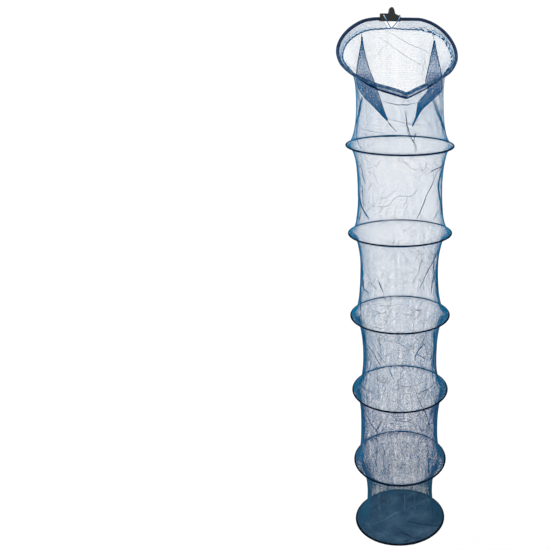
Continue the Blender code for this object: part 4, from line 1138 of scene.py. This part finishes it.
hem_path, hem_s = even_path(arr([p for p in HEM_LOOP if not (abs(p.x) < HEM_GAP and p.y > AXIS_Y)]), 0.0010)
hem_path = smoothed(hem_path, False, 6)
_r = np.random.default_rng(11)
_pl = [(_r.uniform(0.0028, 0.0075), _r.uniform(0, 6.28), _r.integers(0, 3), _r.uniform(0.4, 1.0)) for _ in range(9)]


# how thick the gathered hem is along its run, and its painted light and tone: thin and dark on the left and at the
# back, with darker and paler patches; full and pale on the right with painted highlights and painted shade in its
# ruffles; full in front, darkened with painted shade under the ring
_hv = (BAR_Z - hem_path[:, 2]) / math.cos(FRAME_TILT)
_hx = hem_path[:, 0]
_right = smooth01((_hx - 0.06) / 0.06) * (1 - smooth01((_hv - 0.27) / 0.03))
_front = smooth01((_hv - 0.255) / 0.03)
_left = smooth01((-_hx - 0.05) / 0.05) * (1 - _front)
_patch = smooth01(0.5 + 0.9 * (np.sin(hem_s * 2 * math.pi / 0.047) + np.sin(hem_s * 2 * math.pi / 0.019 + 1.0) + 0.8 * np.sin(hem_s * 2 * math.pi / 0.0083)) / 2)
HEM_WIDE = 0.0018 + 0.0010 * _right + (0.0014 + 0.0006 * smooth01((0.005 - _hx) / 0.02)) * _front - 0.0001 * _left + 0.0003 * smooth01(-_hx / 0.03) * (1 - _front)
_ruffle_light = smooth01(0.5 + 0.9 * (np.sin(hem_s * 2 * math.pi / 0.043 + 1.3 * np.sin(hem_s * 2 * math.pi / 0.101)) + np.sin(hem_s * 2 * math.pi / 0.0217 + 2.0) + 0.5 * np.sin(hem_s * 2 * math.pi / 0.0131 + 0.5)) / 2)
HEM_LIGHT_AND_TONE = np.clip(0.44 + 0.02 * _left - 0.34 * _right + 0.40 * _front + 0.44 * (_patch - 0.5) * (1 - _right) + 0.9 * _right * (_ruffle_light - 0.5), -0.25, 0.9)


def gathers(s, q):
    f = sum(am * np.sin(2 * math.pi * s / wl + ph + m * q) for wl, ph, m, am in _pl) / 3.2
    lash = 0.10 * np.interp(s, hem_s, _front) * np.cos(2 * math.pi * s / 0.0028 - q)
    return np.interp(s, hem_s, HEM_WIDE) * (1 + 0.24 * f * (1 - 0.5 * np.interp(s, hem_s, _front)) + lash)


def sag(s, q, m, b):
    lift = 0.0009 * np.sin(2 * math.pi * s / 0.019) + 0.0006 * np.sin(2 * math.pi * s / 0.0077 + 1.0)
    ruff = 0.0016 * np.sin(2 * math.pi * s / 0.0315 + np.sin(2 * math.pi * s / 0.079)) + 0.0008 * np.sin(2 * math.pi * s / 0.0141 + 2.0)
    return (lift * (1 - 0.7 * np.interp(s, hem_s, _front)) + ruff * np.interp(s, hem_s, _right))[..., None] * b[:, None]


hem_ob = tube("collar_gathered_hem", hem_path, hem_s, gathers, 14, flat=(0.85, 1.12), shift=sag)
att = hem_ob.data.attributes.new("under", "FLOAT", "POINT")
q = 2 * math.pi * np.arange(14) / 14
# painted shade on the hem's underside, stronger in front where the hem lies under the ring, added to its painted light
# and tone along the run
under = (0.30 + 0.40 * _front)[:, None] * smooth01((-np.sin(q) + 0.1 - 0.35 * _front[:, None]) / 0.9) + HEM_LIGHT_AND_TONE[:, None]
att.data.foreach_set("value", under.ravel().astype(np.float32))
put(hem_ob, CHEM_MAT, "mouth", "light_blue_hem", "collar_hem")

def fold_beside(name, pick, out_by, r0, mat, wob, broken=False):
    """A fold of the gathered band that runs beside the hem where pick is over nought, out_by from it towards the ring.
    Its colour comes from mat: the pale folds are painted highlights, the dark one painted shade.
    """
    keep = np.where(pick > 0.02)[0]
    keep = keep[: 1 + int(np.argmax(np.diff(keep) > 5))] if (np.diff(keep) > 5).any() else keep
    p = hem_path[keep]
    ring = FINE_ARR[np.argmin(np.linalg.norm(FINE_ARR[:, None] - p[None, ::8], axis=2), axis=0)]
    ring = np.stack([np.interp(np.arange(len(p)), np.arange(0, len(p), 8), ring[:, c]) for c in range(3)], -1)
    d = unit(ring - p)
    s = hem_s[keep] - hem_s[keep[0]]
    off = out_by + wob * (np.sin(s * 2 * math.pi / 0.037 + np.sin(s * 2 * math.pi / 0.091)) + 0.5 * np.sin(s * 2 * math.pi / 0.0163 + 1.0))
    path = smoothed(p + d * off[:, None] + np.array([0, -0.0008, 0.0]), False, 4)
    taper = np.sin(np.linspace(0.06, math.pi - 0.06, len(p))) ** 0.4
    if broken:
        taper = taper * (0.20 + 0.80 * smooth01(0.5 + 0.9 * np.sin(s * 2 * math.pi / 0.031 + 1.7 * np.sin(s * 2 * math.pi / 0.083))))
    ob = tube(name, path, s, lambda ss, q: r0 * np.interp(ss, s, taper) * (1 + 0.18 * np.cos(2 * math.pi * ss / 0.0043 - q)), 7)
    return put(ob, mat, "mouth", "light_blue_hem")


# pale folds are painted highlights along the hem; the dark one on the right is painted shade
fold_beside("collar_fold_left_painted_highlight", _left, 0.0072, 0.0020, FOLD_HIGHLIGHT_MAT, 0.0006)
fold_beside("collar_fold_right_painted_shade", _right * (_hv > 0.02), 0.0058, 0.0011, FOLD_SHADE_MAT, 0.0022)
fold_beside("collar_fold_right_painted_highlight", _right * (_hv > 0.05), 0.0092, 0.0016, FOLD_HIGHLIGHT_MAT, 0.0018, True)

# ---------------------------------------------------------------- lashing of the hem to the ring, either side of the V, in near-white thread that is a painted highlight
def lashing():
    rng = np.random.default_rng(77)
    rows = []
    fine_s = np.concatenate([[0], np.cumsum(np.linalg.norm(np.diff(FINE_ARR, axis=0), axis=1))])
    w = 0.0
    while w < fine_s[-1]:
        i = int(np.searchsorted(fine_s, w))
        p, h = FINE_ARR[i], HEM_ARR[i]
        if (p[2] < BAR_Z - 0.19) and (-0.088 < p[0] < -0.012 or 0.005 < p[0] < 0.074):
            d = unit(h - p)
            out = unit(np.cross(_tan[i], d))
            out = out if out[1] < 0 else -out
            for side in (1.0, -1.0):
                a0 = p + out * (side * WRAP_R * 0.85) + d * WRAP_R * 0.45
                a1 = h - d * 0.0024 + out * (side * HEM_FRONT) + _tan[i] * rng.uniform(0.0004, 0.0014)
                mid = (a0 + a1) / 2 + out * side * 0.0004
                rows += [(a0, mid), (mid, a1)]
        w += rng.uniform(0.0022, 0.0031)
    e = np.array(rows)
    n = np.tile(np.array([0, -1.0, 0.3]), (len(e), 1))
    c = np.arange(len(e))
    b0 = np.stack([(c % 12) / 12, (c // 12) * 12 / len(e)], -1)
    r = np.full(len(e), 0.00062)
    co, quads, uvs = strand_mesh(e[:, 0], e[:, 1], n, n, r, r, b0, b0 + np.array([0.07, 0.0]), 0.02, sides=5)
    return build("front_lashing", co, quads, uvs)


HEM_FRONT = 0.0014
put(lashing(), LASH_HIGHLIGHT_MAT, "mouth", "light_blue_hem")

# ---------------------------------------------------------------- gores
GORE_LEFT = [(-0.086, -0.0318, -0.1095, -0.1073), (-0.110, -0.0461, -0.1141, -0.1072), (-0.145, -0.0776, -0.1262, -0.1056),
             (-0.180, -0.1086, -0.1373, -0.1008), (-0.205, -0.1300, -0.1436, -0.0954), (-0.228, -0.1396, -0.1450, -0.0866),
             (-0.252, -0.1447, -0.1384, -0.0788), (-0.278, -0.1478, -0.1228, -0.0704), (-0.304, -0.1499, -0.0965, -0.0620),
             (-0.330, -0.1500, -0.0715, -0.0530), (-0.356, -0.1500, -0.0460, -0.0421)]
GORE_RIGHT = [(-0.098, -0.0557, 0.1405, 0.1432), (-0.120, -0.0749, 0.1313, 0.1422), (-0.150, -0.1014, 0.1181, 0.1422),
              (-0.180, -0.1260, 0.1054, 0.1429), (-0.206, -0.1449, 0.0947, 0.1444), (-0.232, -0.1542, 0.0878, 0.1450),
              (-0.256, -0.1596, 0.0943, 0.1430), (-0.274, -0.1599, 0.0822, 0.1285), (-0.296, -0.1600, 0.0622, 0.1034),
              (-0.320, -0.1593, 0.0574, 0.0758), (-0.346, -0.1579, 0.0528, 0.0594), (-0.376, -0.1563, 0.0406, 0.0436)]


def GRAIN(u, z):
    """Clumps of thread a few millimetres wide."""
    g = np.random.default_rng(31)
    out = 0
    for _ in range(12):
        q, w = g.uniform(0, math.pi), 2 * math.pi / g.uniform(0.0052, 0.0105)
        out = out + np.sin(w * (math.cos(q) * u / 150 + math.sin(q) * z) + g.uniform(0, 6.28))
    return out / math.sqrt(6)


def gore(name, stations, slot_nodes, seed):
    st = arr(catmull([Vector((z, x0, x1)) for z, y, x0, x1 in stations], 10, False))
    sy = np.array([v.x for v in catmull([Vector((y, 0, 0)) for z, y, x0, x1 in stations], 10, False)])
    n = len(st)
    pieces = []
    for layer, (depth, cells, rad) in enumerate(((0.0022, 14, 1.0), (0.0, 15, 0.95), (-0.0022, 13, 1.0), (0.0011, 12, 1.1))):
        rows = 92
        u, v, edges, cols = hex_lattice(cells, rows, False)
        t = np.clip(v / rows, 0, 1) * (n - 1)
        w = u / cells
        rng = np.random.default_rng(seed + layer)
        w = np.clip(w + rng.normal(0, 0.012, len(w)), 0, 1)
        z, x0, x1 = (np.interp(t, np.arange(n), st[:, c]) for c in range(3))
        y = np.interp(t, np.arange(n), sy)
        x = x0 + (x1 - x0) * w
        wide = (x1 - x0)
        bow = np.sin(math.pi * w) * np.minimum(0.0035, wide * 0.4)
        p = np.stack([x, y + depth / 0.0022 * bow * 0.8 + 0.0008 * np.sin(7 * w * math.pi + t * 0.2 + layer), z], -1)
        nn = np.tile(np.array([0, -1.0, 0]), (len(p), 1))
        i, j = edges[:, 0], edges[:, 1]
        uv = np.stack([w, t / (n - 1)], -1)
        # thinner above, where fewer layers lie on one another
        r = rad * (0.00022 + 0.00034 * smooth01((-0.190 - z) / 0.04)) * np.clip(1 + 0.50 * GRAIN(x * 150, z), 0.35, 2.0)
        co, quads, uvs = strand_mesh(p[i], p[j], nn[i], nn[j], r[i], r[j], uv[i], uv[j], 0.3 / cells)
        ob = put(build("%s_layer_%d" % (name, layer + 1), co, quads, uvs), GORE_MAT, "mouth", "dense_netting")
        ob.data.materials.append(GORE_LOW_MAT)
        low = ((z[i] + z[j]) / 2 + 0.012 * np.sin(60 * x[i]) + 0.010 * rng.normal(0, 1, len(i))) < -0.205
        ob.data.polygons.foreach_set("material_index", np.repeat(low, 3).astype(np.int32))
        pieces.append(ob)
    for side in (1, 2):
        path = np.stack([st[:, side], sy, st[:, 0]], -1)
        path, s = even_path(path, 0.0012)
        edge = tube("%s_edge_%d" % (name, side), path, s,
                    lambda s, q: 0.0015 + 0.00020 * np.cos(2 * math.pi * s / 0.004 - q) + 0.0003 * np.sin(2 * math.pi * s / 0.017), 7, up=(0, 1.0, 0))
        pieces.append(put(edge, HEM_EDGE_MAT, "mouth", "dense_netting"))
    # the folds run up to the hem as a thin bunch of thread
    top = np.array([(st[0, 1] + st[0, 2]) / 2, sy[0], st[0, 0]])
    behind = np.where(HEM_ARR[:, 1] > AXIS_Y + 0.06, np.abs(HEM_ARR[:, 0] - top[0]), 9.0)
    at = HEM_ARR[int(behind.argmin())] + np.array([0, 0, -0.0016])
    path, s = even_path(np.linspace(at, top, 12), 0.002)
    line = tube("%s_top_bunch" % name, path, s, lambda s, q: 0.0008 + 0.0001 * np.cos(2 * math.pi * s / 0.004 - q), 6, up=(0, 1.0, 0))
    pieces.append(put(line, HEM_EDGE_MAT, "mouth", "dense_netting"))
    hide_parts(slot_nodes)
    return pieces


HEM_EDGE_MAT = thread_material("gore_edge_thread", (0.003, 0.016, 0.045), (0.004, 0.030, 0.080), (0.008, 0.065, 0.150), coords="object",
                               scale=120.0, fine=1200.0, spec=0.0)
gore("gore_left", GORE_LEFT, "throat_gore_left", 500)
gore("gore_right", GORE_RIGHT, "throat_gore_right", 600)

# ---------------------------------------------------------------- tail panel
# creases: points on the panel, height, width, and painted light: over nought a painted highlight along a ridge, under
# nought painted shade in a trough
TAIL_CREASES = (([(-0.122, -0.033), (0.015, 0.028), (0.159, 0.087)], 0.0042, 0.0085, 0.60),
                ([(0.033, -0.042), (0.076, -0.072), (0.147, -0.101)], -0.0045, 0.0070, -0.75),
                ([(-0.021, -0.100), (0.017, -0.146)], -0.0040, 0.0070, -0.70),
                ([(-0.017, -0.168), (0.021, -0.154), (0.060, -0.160)], -0.0030, 0.0060, -0.60),
                ([(-0.150, 0.007), (-0.135, -0.060), (-0.073, -0.140)], 0.0030, 0.0120, 0.25),
                ([(0.020, 0.150), (0.030, 0.020)], 0.0026, 0.0090, 0.25),
                ([(-0.117, 0.070), (-0.043, 0.115)], -0.0025, 0.0080, -0.35))


def tail():
    tilt = math.radians(HOOP_TILT[5])
    rr = HOOP_R - HEM_R * 0.7
    rings, seg = 90, 240
    r = np.linspace(0.0, rr, rings + 1)[1:]
    a = np.linspace(0, 2 * math.pi, seg, endpoint=False)
    R, A = np.meshgrid(r, a, indexing="ij")
    X, Y = R * np.cos(A), R * np.sin(A)
    f1, f2 = wave_field(901, 6, (1, 3), (10, 34)), wave_field(902, 9, (3, 9), (20, 70))
    Z = (0.0030 * f1(A, R) + 0.0012 * f2(A, R)) * smooth01((rr - R) / 0.03)
    # long soft creases across the panel
    shade = np.zeros_like(X)
    for line, amp, wd, tone in TAIL_CREASES:
        d = np.full(X.shape, 9.0)
        for (x0, y0), (x1, y1) in zip(line, line[1:]):
            dx, dy = x1 - x0, y1 - y0
            w = np.clip(((X - x0) * dx + (Y - y0) * dy) / (dx * dx + dy * dy), 0, 1)
            d = np.minimum(d, np.hypot(X - x0 - dx * w, Y - y0 - dy * w))
        Z += amp * np.exp(-(d / wd) ** 2) * smooth01((rr - R) / 0.02)
        # painted highlight along raised creases and painted shade along sunken ones
        shade += 1.3 * tone * np.exp(-(d / (0.50 * wd)) ** 2)
    co = [np.array([[0, 0, float(Z[0].mean())]])]
    co.append(np.stack([X, Y, Z], -1).reshape(-1, 3))
    co = np.vstack(co)
    co = np.stack([co[:, 0], AXIS_Y + co[:, 1] * math.cos(tilt) - co[:, 2] * math.sin(tilt),
                   HOOP_Z[5] + co[:, 1] * math.sin(tilt) + co[:, 2] * math.cos(tilt)], -1)
    i, j = np.meshgrid(np.arange(rings - 1), np.arange(seg), indexing="ij")
    j2 = (j + 1) % seg
    quads = np.stack([1 + i * seg + j, 1 + (i + 1) * seg + j, 1 + (i + 1) * seg + j2, 1 + i * seg + j2], -1).reshape(-1, 4)
    me = bpy.data.meshes.new("tail_cloth")
    tri = [(0, 1 + n, 1 + (n + 1) % seg) for n in range(seg)]
    me.from_pydata([tuple(c) for c in co], [], tri + [tuple(int(x) for x in qd) for qd in quads])
    me.shade_smooth()
    ob = bpy.data.objects.new("tail_cloth", me)
    scene.collection.objects.link(ob)
    at = me.attributes.new("crease", "FLOAT", "POINT")
    at.data.foreach_set("value", np.concatenate([[0.0], shade.ravel()]).astype(np.float32))
    return ob


def tail_material():
    m, nt, b = material("dense_tail_mesh")
    tc = nt.nodes.new("ShaderNodeTexCoord")
    n1 = node(nt, "ShaderNodeTexNoise", Scale=16.0, Detail=5.0, Roughness=0.6)
    nt.links.new(tc.outputs["Object"], n1.inputs["Vector"])
    r1 = ramp(nt, [(0.30, (0.012, 0.034, 0.068)), (0.50, (0.034, 0.078, 0.130)), (0.70, (0.078, 0.140, 0.200))])
    nt.links.new(n1.outputs["Fac"], r1.inputs[0])
    vo = node(nt, "ShaderNodeTexVoronoi", Scale=420.0)
    nt.links.new(tc.outputs["Object"], vo.inputs["Vector"])
    r2 = ramp(nt, [(0.0, (0.70, 0.70, 0.70)), (0.6, (1.25, 1.25, 1.25))])
    nt.links.new(vo.outputs["Distance"], r2.inputs[0])
    mx = nt.nodes.new("ShaderNodeMix")
    mx.data_type, mx.blend_type = "RGBA", "MULTIPLY"
    mx.inputs[0].default_value = 1.0
    nt.links.new(r1.outputs[0], mx.inputs[6])
    nt.links.new(r2.outputs[0], mx.inputs[7])
    # painted light: the cloth is paler along the creases' ridges, a painted highlight, and darker in their troughs,
    # painted shade
    cr = nt.nodes.new("ShaderNodeAttribute")
    cr.attribute_name = "crease"
    gain = nt.nodes.new("ShaderNodeMapRange")
    gain.inputs["From Min"].default_value, gain.inputs["From Max"].default_value = -1.0, 1.0
    gain.inputs["To Min"].default_value, gain.inputs["To Max"].default_value = 0.0, 2.2
    nt.links.new(cr.outputs["Fac"], gain.inputs["Value"])
    mz = nt.nodes.new("ShaderNodeVectorMath")
    mz.operation = "SCALE"
    nt.links.new(mx.outputs[2], mz.inputs[0])
    nt.links.new(gain.outputs[0], mz.inputs["Scale"])
    nt.links.new(mz.outputs[0], b.inputs["Base Color"])
    rr = nt.nodes.new("ShaderNodeMapRange")
    rr.inputs["To Min"].default_value = 0.6
    rr.inputs["To Max"].default_value = 0.85
    nt.links.new(vo.outputs["Distance"], rr.inputs["Value"])
    nt.links.new(rr.outputs[0], b.inputs["Roughness"])
    bp = node(nt, "ShaderNodeBump", Strength=0.7, Distance=0.0006)
    nt.links.new(vo.outputs["Distance"], bp.inputs["Height"])
    nt.links.new(bp.outputs[0], b.inputs["Normal"])
    b.inputs["Specular IOR Level"].default_value = 0.2
    return m


tail_ob = put(tail(), tail_material(), "hoop_6_body", "dense_netting", "tail_panel")

# ---------------------------------------------------------------- carried-over nodes
NODES = frame["nodes"]


def paint(name, mat):
    NODES[name].data.materials.clear()
    NODES[name].data.materials.append(mat)


for name in ("connector_block", "connector_clamp"):
    paint(name, BLACK_MAT)
paint("threaded_insert", BRASS_MAT)
for n in (1, 2):
    paint("connector_screw_%d" % n, STEEL_MAT)
    paint("drawstring_knot_%d" % n, CORD_MAT)
for k in range(1, 7):
    paint("hoop_%d" % k, WIRE_MAT)
    paint("hoop_%d_ferrule" % k, STEEL_MAT)

# ---------------------------------------------------------------- stage
me = bpy.data.meshes.new("floor")
F = 300.0
me.from_pydata([(-F, -F, 0), (F, -F, 0), (F, F, 0), (-F, F, 0)], [], [(0, 1, 2, 3)])
floor = bpy.data.objects.new("floor", me)
floor.location = (0, 0, -3.60)
scene.collection.objects.link(floor)
m, nt, b = material("pale_floor")
b.inputs["Base Color"].default_value = (0.828, 0.828, 0.828, 1)
b.inputs["Roughness"].default_value = 1.0
b.inputs["Specular IOR Level"].default_value = 0.0
floor.data.materials.append(m)

world = bpy.data.worlds.new("studio")
scene.world = world
world.use_nodes = True
world.node_tree.nodes["Background"].inputs[0].default_value = (1.0, 1.0, 1.0, 1)
world.node_tree.nodes["Background"].inputs[1].default_value = 1.05


def lamp(name, kind, energy, location, target, size=1.0, angle=0.0):
    li = bpy.data.lights.new(name, kind)
    li.energy = energy
    if kind == "AREA":
        li.shape, li.size = "DISK", size
    if kind == "SUN":
        li.angle = math.radians(angle)
    ob = bpy.data.objects.new(name, li)
    scene.collection.objects.link(ob)
    ob.location = location
    d = Vector(target) - Vector(location)
    ob.rotation_mode = "QUATERNION"
    ob.rotation_quaternion = d.to_track_quat("-Z", "Y")
    return ob


lamp("key", "SUN", 0.9, (-1.6, -2.2, 3.2), (0, 0, 0), angle=25.0)
